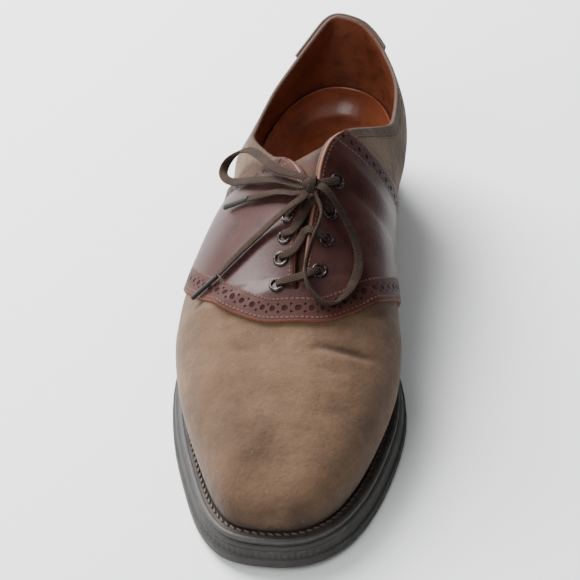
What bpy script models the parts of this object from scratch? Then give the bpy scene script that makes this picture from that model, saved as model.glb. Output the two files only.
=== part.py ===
"""Lace-up saddle shoe for the right foot, standing empty on its sole.

Metres, +Z up. The toe points along -Y and the medial (big toe) side lies at +X.
The upper is one surface: a plan outline gives its foot, a row of sections gives
its top edge, and a cubic profile joins the two at each station.
"""

import bmesh
import bpy
import numpy as np
from mathutils import Matrix, Vector

MM = 0.001

# Driving sizes of the last and the sole
SHOE_LENGTH = 306 * MM       # outsole, toe to heel
BALL_WIDTH = 116 * MM        # outsole across the ball
INSTEP_HEIGHT = 103 * MM     # floor to the facings beside the top eyelets
COLLAR_HEIGHT = 96 * MM      # floor to the collar at the back
HEEL_HEIGHT = 16 * MM        # floor to the outsole above the heel block
TOE_SPRING = 4 * MM          # floor to the outsole under the toe tip
SOLE_THICKNESS = 15 * MM     # outsole and welt together
CLEARANCE = 0.3 * MM         # between pieces that meet
OVERLAY_GAP = 0.6 * MM       # under the saddle and the heel stay

# Upper and what lies on it
UPPER_WALL = 2.0 * MM
SADDLE_THICKNESS = 1.5 * MM
STAY_THICKNESS = 1.3 * MM
TONGUE_THICKNESS = 2.2 * MM

# Sole pieces
WELT_WIDTH = 5.8 * MM        # from the upper to the welt's edge at the toe
WELT_THICKNESS = 3.2 * MM
WELT_TUCK = 3.5 * MM         # how far the welt runs in under the upper
WELT_ROUND = 0.7 * MM
FLARE = 3.2 * MM             # how far the outsole spreads from welt to floor
HEEL_BREAST = 0.24           # front of the heel, share of the length
GROOVE_DEPTH = 1.8 * MM
GROOVE_WIDTH = 3.0 * MM
GROOVE_MARGIN = 11 * MM      # uncut border beside each groove
INSOLE_THICKNESS = 3.0 * MM
CUP_THICKNESS = 1.6 * MM

# Eyelets and laces
EYELET_INSET = 8.5 * MM      # from the facing's edge
EYELET_BORE = 4.6 * MM
EYELET_FLANGE = 7.6 * MM
EYELET_BARREL = 5.6 * MM
EYELET_LIFT = 0.5 * MM       # flange over the middle of the curved facing
EYELET_PROUD = 0.9 * MM
LACE_WIDTH = 4.6 * MM
LACE_THICKNESS = 1.5 * MM
LACE_TUCK = 1.5 * MM         # how far a crossing runs down into an eyelet
CORD_DIAMETER = 2.8 * MM
AGLET_DIAMETER = 2.4 * MM
KNOT_SIZE = (10 * MM, 9 * MM, 7 * MM)

# How finely each piece is divided
UPPER_STATIONS = 46
SOLE_STATIONS = 38
PROFILE_STEPS = 10
OVERLAY_FOOT = 0.02          # how far up the profile an overlay starts
ROUND_STEPS = 10

# Ground outline of the outsole. along: share of the length from its middle, toe first.
# lateral, medial: distance from the axis, shares of the ball width.
PLAN_COLUMNS = ("along", "lateral", "medial")
PLAN = (
    (-0.5000, 0.000, 0.000),
    (-0.4961, 0.112, 0.104),
    (-0.4804, 0.200, 0.200),
    (-0.4526, 0.266, 0.282),
    (-0.4118, 0.326, 0.349),
    (-0.3529, 0.388, 0.406),
    (-0.2876, 0.449, 0.446),
    (-0.2157, 0.496, 0.470),
    (-0.1405, 0.522, 0.458),
    (-0.0588, 0.509, 0.398),
    (0.0260, 0.453, 0.323),
    (0.1110, 0.394, 0.275),
    (0.1960, 0.347, 0.266),
    (0.2810, 0.322, 0.284),
    (0.3595, 0.306, 0.289),
    (0.4250, 0.266, 0.260),
    (0.4706, 0.188, 0.190),
    (0.4935, 0.094, 0.096),
    (0.5000, 0.000, 0.000),
)

# Side view of the outsole and its margins, along the same share of the length.
# spring, pitch: underside as shares of the toe spring and heel height.
# flare, welt: shares of the flare and the welt width.
BED_COLUMNS = ("along", "spring", "pitch", "flare", "welt")
BED = (
    (-0.50, 1.00, 0.00, 0.85, 1.00),
    (-0.45, 0.56, 0.00, 0.95, 1.00),
    (-0.40, 0.22, 0.00, 1.00, 1.00),
    (-0.35, 0.00, 0.00, 1.00, 1.00),
    (-0.12, 0.00, 0.00, 1.00, 0.95),
    (0.00, 0.00, 0.20, 0.70, 0.65),
    (0.12, 0.00, 0.58, 0.45, 0.45),
    (0.24, 0.00, 0.88, 0.45, 0.45),
    (0.50, 0.00, 1.00, 0.45, 0.50),
)

# Sections of the upper, keyed by the station at its foot.
# top: where the section ends, share of the length.  mid: its middle there, from the
# axis, share of the ball width.  half: half width there, share of the outline's at
# the foot.  instep, back: height there, shares of the instep and collar heights.
# lift: medial over lateral, share of the instep height.  skew: medial behind
# lateral, share of the length.  lean, arrive: degrees out of upright at the foot
# and above level at the top.  rise, reach: pull of each end, shares of their distance.
SECTION_COLUMNS = (
    "along", "top", "mid", "half", "instep", "back",
    "lift", "skew", "lean", "arrive", "rise", "reach",
)
SECTIONS = (
    (-0.50, -0.346, 0.022, 0.000, 0.495, 0.000, 0.000, 0.000, 14, 0, 0.38, 0.50),
    (-0.45, -0.340, 0.022, 0.000, 0.503, 0.000, 0.000, 0.000, 16, 0, 0.38, 0.50),
    (-0.38, -0.310, 0.027, 0.000, 0.534, 0.000, 0.000, 0.000, 22, 0, 0.40, 0.52),
    (-0.30, -0.261, 0.028, 0.000, 0.580, 0.000, 0.000, 0.000, 28, 0, 0.44, 0.54),
    (-0.20, -0.193, 0.027, 0.000, 0.652, 0.000, 0.000, 0.000, 33, 0, 0.45, 0.54),
    (-0.15, -0.150, 0.021, 0.000, 0.716, 0.000, 0.000, 0.000, 35, 0, 0.44, 0.52),
    (-0.12, -0.124, 0.020, 0.029, 0.758, 0.000, 0.012, 0.000, 37, 9, 0.43, 0.50),
    (-0.05, -0.062, 0.020, 0.049, 0.869, 0.000, 0.014, 0.000, 40, 25, 0.42, 0.44),
    (0.03, 0.013, 0.028, 0.067, 0.985, 0.000, 0.015, 0.000, 42, 36, 0.42, 0.36),
    (0.09, 0.065, 0.005, 0.210, 1.020, 0.000, 0.053, 0.001, 43, 46, 0.43, 0.33),
    (0.14, 0.111, -0.003, 0.440, 0.961, 0.000, 0.073, 0.010, 44, 54, 0.46, 0.33),
    (0.19, 0.163, 0.001, 0.714, 0.700, 0.182, 0.044, 0.020, 44, 60, 0.52, 0.34),
    (0.26, 0.242, 0.001, 1.000, 0.400, 0.390, 0.005, 0.025, 42, 64, 0.56, 0.35),
    (0.34, 0.324, 0.022, 0.930, 0.150, 0.680, 0.000, 0.023, 34, 71, 0.48, 0.35),
    (0.42, 0.405, 0.027, 0.730, 0.000, 0.906, 0.000, 0.020, 24, 78, 0.42, 0.35),
    (0.47, 0.454, 0.018, 0.570, 0.000, 0.969, 0.000, 0.013, 17, 81, 0.40, 0.35),
    (0.50, 0.479, 0.000, 0.500, 0.000, 1.000, 0.000, 0.000, 13, 82, 0.40, 0.35),
)

# Edge of the outsole from the welt down. out: share of the flare.
# down: share of the outsole's thickness.
SOLE_EDGE_COLUMNS = ("out", "down")
SOLE_EDGE = (
    (0.05, 0.00),
    (0.30, 0.05),
    (0.38, 0.16),
    (0.62, 0.56),
    (0.92, 0.60),
    (1.00, 0.90),
    (0.86, 1.00),
)
HEEL_EDGE = (
    (0.70, 0.00),
    (0.78, 0.62),
    (0.96, 0.66),
    (1.00, 0.93),
    (0.80, 1.00),
)

# Edges of the saddle and the heel stay, from the sole (up = 0) to the top edge (up = 1).
# front, rear: station at the foot of the section that the edge crosses there.
SADDLE_COLUMNS = ("up", "front", "rear_lateral", "rear_medial")
SADDLE = (
    (0.00, 0.000, 0.190, 0.170),
    (0.25, -0.040, 0.180, 0.160),
    (0.50, -0.105, 0.168, 0.152),
    (0.75, -0.170, 0.152, 0.146),
    (0.90, -0.194, 0.142, 0.142),
    (1.00, -0.198, 0.138, 0.138),
)
STAY_COLUMNS = ("up", "edge")
STAY = (
    (0.00, 0.462),
    (0.30, 0.470),
    (0.60, 0.464),
    (0.85, 0.440),
    (1.00, 0.425),
)

# Eyelet rows, bottom pair first. lateral, medial: foot of the section each sits on.
# lateral_in, medial_in: distance from the facing's edge, shares of the eyelet inset.
EYELET_COLUMNS = ("lateral", "lateral_in", "medial", "medial_in")
EYELETS = (
    (-0.137, 1.06, -0.118, 0.90),
    (-0.091, 0.80, -0.066, 1.05),
    (-0.057, 0.70, -0.020, 1.00),
    (-0.024, 0.70, 0.037, 1.22),
)

# Knot and free laces. across, along, height: shares of the ball width, the shoe
# length and the instep height, from the middle of the sole on the floor.
ROUTE_COLUMNS = ("across", "along", "height")
KNOT = ((0.067, -0.016, 1.031),)
LOOP_LATERAL = (
    (0.021, -0.006, 1.048),
    (-0.048, 0.009, 1.029),
    (-0.129, 0.049, 0.976),
    (-0.213, 0.110, 0.888),
    (-0.289, 0.154, 0.796),
    (-0.355, 0.170, 0.704),
    (-0.384, 0.163, 0.649),
    (-0.371, 0.143, 0.647),
    (-0.316, 0.110, 0.705),
    (-0.230, 0.069, 0.820),
    (-0.159, 0.044, 0.891),
    (-0.069, 0.013, 0.969),
    (0.020, -0.016, 1.016),
)
LOOP_MEDIAL = (
    (0.122, -0.027, 1.039),
    (0.164, -0.032, 0.985),
    (0.211, -0.040, 0.889),
    (0.250, -0.056, 0.821),
    (0.276, -0.079, 0.771),
    (0.277, -0.106, 0.750),
    (0.259, -0.136, 0.736),
    (0.224, -0.157, 0.718),
    (0.188, -0.168, 0.716),
    (0.148, -0.168, 0.731),
    (0.105, -0.158, 0.765),
    (0.081, -0.145, 0.812),
    (0.079, -0.130, 0.850),
    (0.090, -0.107, 0.892),
    (0.109, -0.084, 0.933),
    (0.120, -0.058, 0.966),
    (0.098, -0.038, 0.996),
)
END_SHORT = (
    (0.007, -0.025, 0.996),
    (-0.059, -0.005, 0.948),
    (-0.140, 0.014, 0.878),
    (-0.214, 0.027, 0.816),
)
TIP_SHORT = (
    (-0.219, 0.028, 0.812),
    (-0.330, 0.049, 0.697),
)
END_LONG = (
    (0.034, -0.037, 1.000),
    (-0.022, -0.042, 0.947),
    (-0.111, -0.051, 0.845),
    (-0.209, -0.075, 0.753),
    (-0.296, -0.102, 0.674),
)
TIP_LONG = (
    (-0.301, -0.104, 0.668),
    (-0.401, -0.124, 0.573),
)


def column(table, names, name):
    return np.array([row[names.index(name)] for row in table], float)


def spline(knots, values, at):
    """Cubic through the knots with matching curvature, straight at the two ends."""
    step = np.diff(knots)
    rise = np.diff(values) / step
    count = len(knots)
    matrix = np.eye(count)
    right = np.zeros(count)
    for i in range(1, count - 1):
        matrix[i, i - 1:i + 2] = step[i - 1], 2 * (step[i - 1] + step[i]), step[i]
        right[i] = 6 * (rise[i] - rise[i - 1])
    bend = np.linalg.solve(matrix, right)
    i = np.clip(np.searchsorted(knots, at, side="right") - 1, 0, count - 2)
    t = at - knots[i]
    slope = rise[i] - step[i] * (2 * bend[i] + bend[i + 1]) / 6
    return values[i] + t * (slope + t * (bend[i] / 2 + t * (bend[i + 1] - bend[i]) / (6 * step[i])))


def monotone(knots, values, at):
    """Cubic through the knots that never passes beyond two neighbours."""
    step = np.diff(knots)
    rise = np.diff(values) / step
    slope = np.zeros(len(knots))
    same = rise[:-1] * rise[1:] > 0
    first, second = 2 * step[1:] + step[:-1], step[1:] + 2 * step[:-1]
    safe = np.where(same, rise[:-1], 1), np.where(same, rise[1:], 1)
    slope[1:-1] = np.where(same, (first + second) / (first / safe[0] + second / safe[1]), 0)
    slope[0], slope[-1] = rise[0], rise[-1]
    i = np.clip(np.searchsorted(knots, at, side="right") - 1, 0, len(step) - 1)
    t = (at - knots[i]) / step[i]
    return (
        values[i] * (1 + 2 * t) * (1 - t) ** 2
        + values[i + 1] * t * t * (3 - 2 * t)
        + step[i] * t * (1 - t) * (slope[i] * (1 - t) - slope[i + 1] * t)
    )


def mirrored(values, sign):
    """Two rows repeated beyond each end, turned over for a distance from the axis."""
    low = 2 * values[0] * (sign < 0) + sign * values[2:0:-1]
    high = 2 * values[-1] * (sign < 0) + sign * values[-2:-4:-1]
    return np.concatenate([low, values, high])


def plan(name, turn):
    """A column of the plan at a row number, smooth round the toe and heel."""
    values = column(PLAN, PLAN_COLUMNS, name)
    sign = 1 if name == "along" else -1
    return spline(np.arange(-2.0, len(values) + 2), mirrored(values, sign), turn)


def bed(name, along):
    return monotone(column(BED, BED_COLUMNS, "along"), column(BED, BED_COLUMNS, name), along)


def underside(along):
    return TOE_SPRING * bed("spring", along) + HEEL_HEIGHT * bed("pitch", along)


def bed_top(along):
    return underside(along) + SOLE_THICKNESS


def widest(name):
    return plan(name, np.linspace(0, len(PLAN) - 1.0, 400)).max()


# The foot's axis, from the middle of the outsole's box
AXIS = (widest("lateral") - widest("medial")) / 2 * BALL_WIDTH


def ground(side, turn):
    """Outline point on the floor. side is -1 for lateral and 1 for medial."""
    along = plan("along", turn)
    reach = plan("lateral" if side < 0 else "medial", turn)
    return np.stack([AXIS + side * reach * BALL_WIDTH, along * SHOE_LENGTH], -1)


def outward(side, turn):
    """Unit vector in the plan, square to the outline and away from the foot."""
    tiny = 0.01
    run = ground(side, turn + tiny) - ground(side, turn - tiny)
    run /= np.linalg.norm(run, axis=-1, keepdims=True)
    return side * np.stack([run[..., 1], -run[..., 0]], -1)


def inset(side, turn, flare, welt, more=0.0):
    """Outline drawn in by shares of the flare and the welt, and by a length."""
    along = plan("along", turn)
    depth = flare * FLARE * bed("flare", along) + welt * WELT_WIDTH * bed("welt", along) + more
    return ground(side, turn) - outward(side, turn) * np.asarray(depth)[..., None]


def stations(count, first=0.0, last=None):
    """Row numbers spaced evenly along the outline."""
    last = len(PLAN) - 1.0 if last is None else last
    fine = np.linspace(first, last, 1200)
    ways = [np.linalg.norm(np.diff(ground(side, fine), axis=0), axis=1) for side in (-1, 1)]
    length = np.concatenate([[0], np.cumsum(ways[0] + ways[1])])
    return np.interp(np.linspace(0, length[-1], count + 1), length, fine)


def turn_at(along):
    """Row number of a share of the length."""
    fine = np.linspace(0, len(PLAN) - 1.0, 2400)
    return np.interp(along, plan("along", fine), fine)


def section(name, along, exact=False):
    """A column of the sections at a station."""
    knots = column(SECTIONS, SECTION_COLUMNS, "along")
    values = column(SECTIONS, SECTION_COLUMNS, name)
    return (monotone if exact else spline)(knots, values, along)


def top_edge(side, turn):
    """Where the upper ends: the ridge over the vamp, the facing, then the collar."""
    along = plan("along", turn)
    outline = (plan("lateral", turn) + plan("medial", turn)) / 2 * BALL_WIDTH
    mid = AXIS + section("mid", along) * BALL_WIDTH
    half = section("half", along, exact=True) * outline
    height = section("instep", along) * INSTEP_HEIGHT + section("back", along) * COLLAR_HEIGHT
    lift = section("lift", along, exact=True) * INSTEP_HEIGHT
    skew = section("skew", along, exact=True) * SHOE_LENGTH
    run = section("top", along) * SHOE_LENGTH
    return np.stack([mid + side * half, run + side * skew, height + side * lift], -1)


def upper_point(side, turn, up):
    """Outside of the upper. up runs from 0 at the welt to 1 at the top edge."""
    turn, up = np.broadcast_arrays(np.asarray(turn, float), np.asarray(up, float))
    along = plan("along", turn)
    foot = np.concatenate(
        [inset(side, turn, 1, 1), (bed_top(along) + CLEARANCE)[..., None]], -1
    )
    top = top_edge(side, turn)
    span = np.linalg.norm(top - foot, axis=-1)
    flat = outward(side, turn)
    lean = np.radians(section("lean", along))
    arrive = np.radians(np.maximum(section("arrive", along, exact=True), 0))
    tiny = 0.05
    middle = np.clip(turn, 1, len(PLAN) - 2)
    ridge = [top_edge(side, middle + d) for d in (-tiny, tiny)]
    climb = (ridge[1][..., 2] - ridge[0][..., 2]) / (ridge[1][..., 1] - ridge[0][..., 1])
    climb = climb * np.cos(arrive) ** 4
    start = np.concatenate([flat * np.sin(lean)[..., None], np.cos(lean)[..., None]], -1)
    fall = flat[..., 1] * climb * np.cos(arrive) - np.sin(arrive)
    end = np.concatenate([flat * np.cos(arrive)[..., None], fall[..., None]], -1)
    first = foot + start * (section("rise", along) * span)[..., None]
    second = top + end * (section("reach", along) * span)[..., None]
    t = up[..., None]
    return (
        foot * (1 - t) ** 3 + 3 * first * t * (1 - t) ** 2
        + 3 * second * t * t * (1 - t) + top * t ** 3
    )


def upper_normal(side, turn, up):
    tiny = 0.004
    turn, up = np.broadcast_arrays(np.asarray(turn, float), np.asarray(up, float))
    up = np.clip(up, tiny, 1 - tiny)
    across = upper_point(side, turn, up + tiny) - upper_point(side, turn, up - tiny)
    around = upper_point(side, turn + tiny, up) - upper_point(side, turn - tiny, up)
    normal = side * np.cross(around, across)
    return normal / np.linalg.norm(normal, axis=-1, keepdims=True)


def upper_offset(side, turn, up, height):
    """The upper's surface moved outwards by a height, or inwards by a negative one."""
    return upper_point(side, turn, up) + upper_normal(side, turn, up) * height


def material(name, colour, roughness, metallic=0.0):
    made = bpy.data.materials.new(name)
    made.use_nodes = True
    shader = made.node_tree.nodes["Principled BSDF"]
    shader.inputs["Base Color"].default_value = (*colour, 1.0)
    shader.inputs["Roughness"].default_value = roughness
    shader.inputs["Metallic"].default_value = metallic
    made.diffuse_color = (*colour, 1.0)
    return made


def new_collection(name):
    made = bpy.data.collections.new(name)
    bpy.context.scene.collection.children.link(made)
    return made


def add_object(name, data, finish, holder):
    made = bpy.data.objects.new(name, data)
    holder.objects.link(made)
    if finish is not None:
        data.materials.append(finish)
    return made


def mesh_object(name, points, faces, finish, holder, weld=0.02 * MM):
    """A mesh from points and faces, welded where they coincide, facing outwards."""
    mesh = bpy.data.meshes.new(name)
    work = bmesh.new()
    corners = [work.verts.new(point) for point in np.asarray(points).reshape(-1, 3)]
    for face in faces:
        work.faces.new([corners[i] for i in face])
    bmesh.ops.remove_doubles(work, verts=work.verts, dist=weld)
    bmesh.ops.recalc_face_normals(work, faces=work.faces)
    work.to_mesh(mesh)
    work.free()
    mesh.shade_smooth()
    mesh.set_sharp_from_angle(angle=np.radians(35))
    return add_object(name, mesh, finish, holder)


def sheet_faces(rows, columns, offset=0, flip=False):
    """Quads of a grid whose points are stored row by row."""
    faces = []
    for i in range(rows - 1):
        for j in range(columns - 1):
            a = offset + i * columns + j
            quad = (a, a + 1, a + columns + 1, a + columns)
            faces.append(quad[::-1] if flip else quad)
    return faces


def slab_faces(rows, columns):
    """Outer sheet, inner sheet and the four edges of a slab from two equal grids."""
    inner = rows * columns
    faces = sheet_faces(rows, columns) + sheet_faces(rows, columns, inner, flip=True)
    rim = [j for j in range(columns)]
    rim += [i * columns + columns - 1 for i in range(1, rows)]
    rim += [(rows - 1) * columns + j for j in range(columns - 2, -1, -1)]
    rim += [i * columns for i in range(rows - 2, 0, -1)]
    for a, b in zip(rim, rim[1:] + rim[:1]):
        faces.append((b, a, a + inner, b + inner))
    return faces


def loop_rings(rings):
    """Faces of a tube of rings, each ring a closed loop of equal count."""
    count, around = rings.shape[:2]
    faces = []
    for i in range(count - 1):
        for j in range(around):
            k = (j + 1) % around
            faces.append((i * around + j, i * around + k, (i + 1) * around + k, (i + 1) * around + j))
    return faces


def ring_of(side_points):
    """Lateral and medial rows of points, toe to heel, as one closed ring."""
    lateral, medial = side_points
    return np.concatenate([lateral, medial[-2:0:-1]])


def cap_faces(count, start):
    """Strips across a ring from each lateral point to the medial point beside it."""
    lateral = [start + i for i in range(count)]
    medial = [lateral[0]] + [start + 2 * count - 2 - i for i in range(1, count - 1)] + [lateral[-1]]
    faces = []
    for i in range(count - 1):
        faces.append(list(dict.fromkeys((lateral[i], medial[i], medial[i + 1], lateral[i + 1]))))
    return faces


def with_height(flat, height):
    return np.concatenate([flat, np.broadcast_to(height, flat.shape[:-1])[..., None]], -1)


def layered(name, edge, turns, top, bottom, finish, holder):
    """A sole layer: rings down its edge between two heights, capped by strips."""
    rings = []
    along = plan("along", turns)
    for out, down in edge:
        height = top(along) + (bottom(along) - top(along)) * down
        rings.append(ring_of([
            with_height(inset(side, turns, 1 - out, 0), height) for side in (-1, 1)
        ]))
    rings = np.array(rings)
    around = rings.shape[1]
    faces = loop_rings(rings)
    faces += cap_faces(len(turns), 0) + cap_faces(len(turns), (len(rings) - 1) * around)
    return mesh_object(name, rings, faces, finish, holder)


def boolean(target, cutter, operation="DIFFERENCE"):
    made = target.modifiers.new("cut " + cutter.name, "BOOLEAN")
    made.object = cutter
    made.operation = operation
    made.solver = "EXACT"
    return made


def hide_cutter(cutter):
    cutter.hide_render = True
    cutter.display_type = "WIRE"
    return cutter


def box_cutter(name, centre, size, holder):
    bpy.ops.mesh.primitive_cube_add(size=1, location=centre)
    made = bpy.context.object
    made.name = name
    made.scale = size
    bpy.ops.object.transform_apply(location=False, rotation=False, scale=True)
    for home in list(made.users_collection):
        home.objects.unlink(made)
    holder.objects.link(made)
    return hide_cutter(made)


def groove_cutters(name, first, last, count, floor, holder):
    """Boxes across the underside that stop short of its edge."""
    made = []
    for i, along in enumerate(np.linspace(first, last, count)):
        turn = turn_at(along)
        left = inset(-1, turn, 0, 0, GROOVE_MARGIN)[0]
        right = inset(1, turn, 0, 0, GROOVE_MARGIN)[0]
        size = (right - left, GROOVE_WIDTH, 2 * GROOVE_DEPTH)
        centre = ((left + right) / 2, along * SHOE_LENGTH, floor)
        made.append(box_cutter(f"{name}_{i + 1}", centre, size, holder))
    return made


def make_outsole(finish, holder, cutters):
    turns = stations(SOLE_STATIONS)

    def top(along):
        return bed_top(along) - WELT_THICKNESS - CLEARANCE

    made = layered("outsole", SOLE_EDGE, turns, top, underside, finish, holder)
    for cutter in groove_cutters("forepart_groove", -0.33, -0.13, 6, 0.0, cutters):
        boolean(made, cutter)
    return made


def make_heel(finish, holder, cutters):
    turns = stations(SOLE_STATIONS // 2, turn_at(HEEL_BREAST))

    def top(along):
        return underside(along) - CLEARANCE

    def floor(along):
        return np.zeros_like(along)

    rings = []
    along = plan("along", turns)
    for out, down in HEEL_EDGE:
        height = top(along) + (floor(along) - top(along)) * down
        sides = [with_height(inset(side, turns, 1 - out, 0), height) for side in (-1, 1)]
        rings.append(np.concatenate([sides[0], sides[1][-2::-1]]))
    rings = np.array(rings)
    around = rings.shape[1]
    faces = loop_rings(rings)
    for start in (0, (len(rings) - 1) * around):
        for i in range(len(turns) - 1):
            quad = (start + i, start + around - 1 - i, start + around - 2 - i, start + i + 1)
            faces.append(list(dict.fromkeys(quad)))
    made = mesh_object("heel", rings, faces, finish, holder)
    for cutter in groove_cutters("heel_groove", 0.30, 0.42, 4, 0.0, cutters):
        boolean(made, cutter)
    return made


def make_welt(finish, holder):
    """A flat ring of leather under the upper's foot, its outer edges rounded."""
    turns = stations(SOLE_STATIONS)
    along = plan("along", turns)
    top = bed_top(along)
    edge = (
        (1, WELT_TUCK, 0), (0, WELT_ROUND, 0), (0, 0, WELT_ROUND),
        (0, 0, WELT_THICKNESS), (1, WELT_TUCK, WELT_THICKNESS),
    )
    rings = [
        ring_of([with_height(inset(side, turns, 1, share, more), top - down) for side in (-1, 1)])
        for share, more, down in edge
    ]
    rings = np.array(rings + rings[:1])
    return mesh_object("welt", rings, loop_rings(rings), finish, holder)


def cup_share(along):
    """How much of the cup's rim stands at a station: none ahead of the arch."""
    t = np.clip((along - 0.02) / 0.26, 0, 1)
    return t * t * (3 - 2 * t)


def make_insole(finish, holder):
    """Footbed inside the upper with a rim that climbs the wall round the heel."""
    turns = stations(UPPER_STATIONS)
    along = plan("along", turns)
    base = bed_top(along) - WELT_THICKNESS + CLEARANCE
    floor = bed_top(along) + INSOLE_THICKNESS
    gap = UPPER_WALL + 2 * CLEARANCE
    rim_up = np.interp(along, (-0.5, 0.0, 0.5), (0.10, 0.11, 0.13)) + 0.11 * cup_share(along)
    rings = []

    def wall(share, depth):
        return [upper_offset(side, turns, rim_up * share, -depth) for side in (-1, 1)]

    def flat(more, height):
        return [with_height(inset(side, turns, 1, 1, more), height) for side in (-1, 1)]

    tuck = WELT_TUCK + CLEARANCE
    rings.append(flat(tuck, base))
    rings.append(flat(tuck, bed_top(along) + CLEARANCE))
    rings.append(flat(gap, bed_top(along) + CLEARANCE))
    rings.append(wall(0.55, gap))
    rings.append(wall(1.0, gap))
    rings.append(wall(1.0, gap + CUP_THICKNESS))
    rings.append(wall(0.55, gap + CUP_THICKNESS))
    rings.append(flat(gap + 3 * CUP_THICKNESS, floor + 1 * MM * cup_share(along)))
    rings.append(flat(gap + 7 * CUP_THICKNESS, floor))
    rings = np.array([ring_of(pair) for pair in rings])
    around = rings.shape[1]
    faces = loop_rings(rings)
    faces += cap_faces(len(turns), 0) + cap_faces(len(turns), (len(rings) - 1) * around)
    return mesh_object("insole", rings, faces, finish, holder)


def make_upper(finish, holder):
    """The shell: lateral and medial sheets welded along the vamp's ridge."""
    turns = stations(UPPER_STATIONS)
    ups = np.linspace(0, 1, PROFILE_STEPS + 1)
    sides = [upper_point(side, turns[:, None], ups[None, :]) for side in (-1, 1)]
    rows, columns = sides[0].shape[:2]
    points = np.concatenate([side.reshape(-1, 3) for side in sides])
    faces = sheet_faces(rows, columns) + sheet_faces(rows, columns, rows * columns, flip=True)
    made = mesh_object("upper", points, faces, finish, holder, weld=0.4 * MM)
    wall = made.modifiers.new("wall", "SOLIDIFY")
    wall.thickness = UPPER_WALL
    wall.offset = -1
    wall.use_even_offset = False
    return made


def edge_at(table, names, name, up):
    return monotone(column(table, names, "up"), column(table, names, name), up)


def overlay(name, front, rear, thickness, finish, holder):
    """A sheet on the upper's own facets between two edges, given for each side."""
    turns = stations(UPPER_STATIONS)
    ups = np.linspace(0, 1, PROFILE_STEPS + 1)
    ups[0] = OVERLAY_FOOT
    place = np.arange(len(turns))
    level = np.arange(len(ups))[None, :]
    points = []
    for side, start, end in zip((-1, 1), front(ups), rear(ups)):
        net = upper_offset(side, turns[:, None], ups[None, :], OVERLAY_GAP)
        first, last = (np.interp(edge, plan("along", turns), place) for edge in (start, end))
        rows = np.clip(place[:, None], first[None, :], last[None, :])
        low = np.minimum(rows.astype(int), len(turns) - 2)
        share = (rows - low)[..., None]
        points.append(net[low, level] * (1 - share) + net[low + 1, level] * share)
    joined = np.linalg.norm(points[0] - points[1], axis=-1) < 4 * OVERLAY_GAP
    middle = (points[0] + points[1]) / 2
    for side in points:
        side[joined] = middle[joined]
    rows, columns = points[0].shape[:2]
    faces = sheet_faces(rows, columns) + sheet_faces(rows, columns, rows * columns, flip=True)
    made = mesh_object(name, points, faces, finish, holder, weld=0.2 * MM)
    solid = made.modifiers.new("thickness", "SOLIDIFY")
    solid.thickness = thickness
    solid.offset = 1
    solid.use_even_offset = False
    return made


def make_saddle(finish, holder):
    """One overlay across the instep, split behind its middle by the throat."""
    def front(up):
        return [edge_at(SADDLE, SADDLE_COLUMNS, "front", up)] * 2

    def rear(up):
        return [edge_at(SADDLE, SADDLE_COLUMNS, name, up) for name in ("rear_lateral", "rear_medial")]

    return overlay("saddle", front, rear, SADDLE_THICKNESS, finish, holder)


def make_heel_stay(finish, holder):
    """Back strap over the heel seam, wide at the collar."""
    def front(up):
        return [edge_at(STAY, STAY_COLUMNS, "edge", up)] * 2

    def rear(up):
        return [np.full(len(up), 0.5)] * 2

    return overlay("heel_stay", front, rear, STAY_THICKNESS, finish, holder)


def make_tongue(finish, holder):
    """Arched flap under the facings, from below the throat to the facings' top."""
    first, last = turn_at(-0.185), turn_at(0.045)
    turns = np.linspace(first, last, 9)
    ups = np.linspace(0.80, 0.985, 4)
    grids = []
    for depth in (0.0, TONGUE_THICKNESS):
        height = -(UPPER_WALL + 3 * CLEARANCE + depth)
        sides = [upper_offset(side, turns[:, None], ups[None, :], height) for side in (-1, 1)]
        grids.append(np.concatenate([sides[0], sides[1][:, ::-1]], axis=1))
    rows, columns = grids[0].shape[:2]
    points = np.concatenate([grid.reshape(-1, 3) for grid in grids])
    return mesh_object("tongue", points, slab_faces(rows, columns), finish, holder)


def eyelet_place(side, row):
    """Row number and height on the profile of an eyelet's middle."""
    label = "lateral" if side < 0 else "medial"
    turn = turn_at(column(EYELETS, EYELET_COLUMNS, label)[row])
    ups = np.linspace(0.5, 1, 200)
    line = upper_point(side, turn, ups)
    gone = np.concatenate([[0], np.cumsum(np.linalg.norm(np.diff(line, axis=0), axis=1))])
    left = gone[-1] - EYELET_INSET * column(EYELETS, EYELET_COLUMNS, label + "_in")[row]
    return turn, np.interp(left, gone, ups)


def eyelet_frame(side, row):
    """Middle of an eyelet on the saddle's face, and the way it points."""
    turn, up = eyelet_place(side, row)
    height = OVERLAY_GAP + SADDLE_THICKNESS
    return upper_offset(side, turn, up, height), upper_normal(side, turn, up)


def posed(made, centre, normal):
    made.matrix_world = Matrix.Translation(centre) @ Vector(normal).to_track_quat("Z", "Y").to_matrix().to_4x4()
    return made


def make_eyelet_holes(holder):
    """Cylinders that clear every eyelet's barrel, as one cutter."""
    work = bmesh.new()
    depth = 2 * (OVERLAY_GAP + SADDLE_THICKNESS + UPPER_WALL)
    for side in (-1, 1):
        for row in range(len(EYELETS)):
            centre, normal = eyelet_frame(side, row)
            spot = Matrix.Translation(centre) @ Vector(normal).to_track_quat("Z", "Y").to_matrix().to_4x4()
            bmesh.ops.create_cone(
                work, cap_ends=True, segments=ROUND_STEPS, depth=2 * depth, matrix=spot,
                radius1=EYELET_BARREL / 2 + CLEARANCE, radius2=EYELET_BARREL / 2 + CLEARANCE,
            )
    mesh = bpy.data.meshes.new("eyelet_holes")
    work.to_mesh(mesh)
    work.free()
    return hide_cutter(add_object("eyelet_holes", mesh, None, holder))


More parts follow.
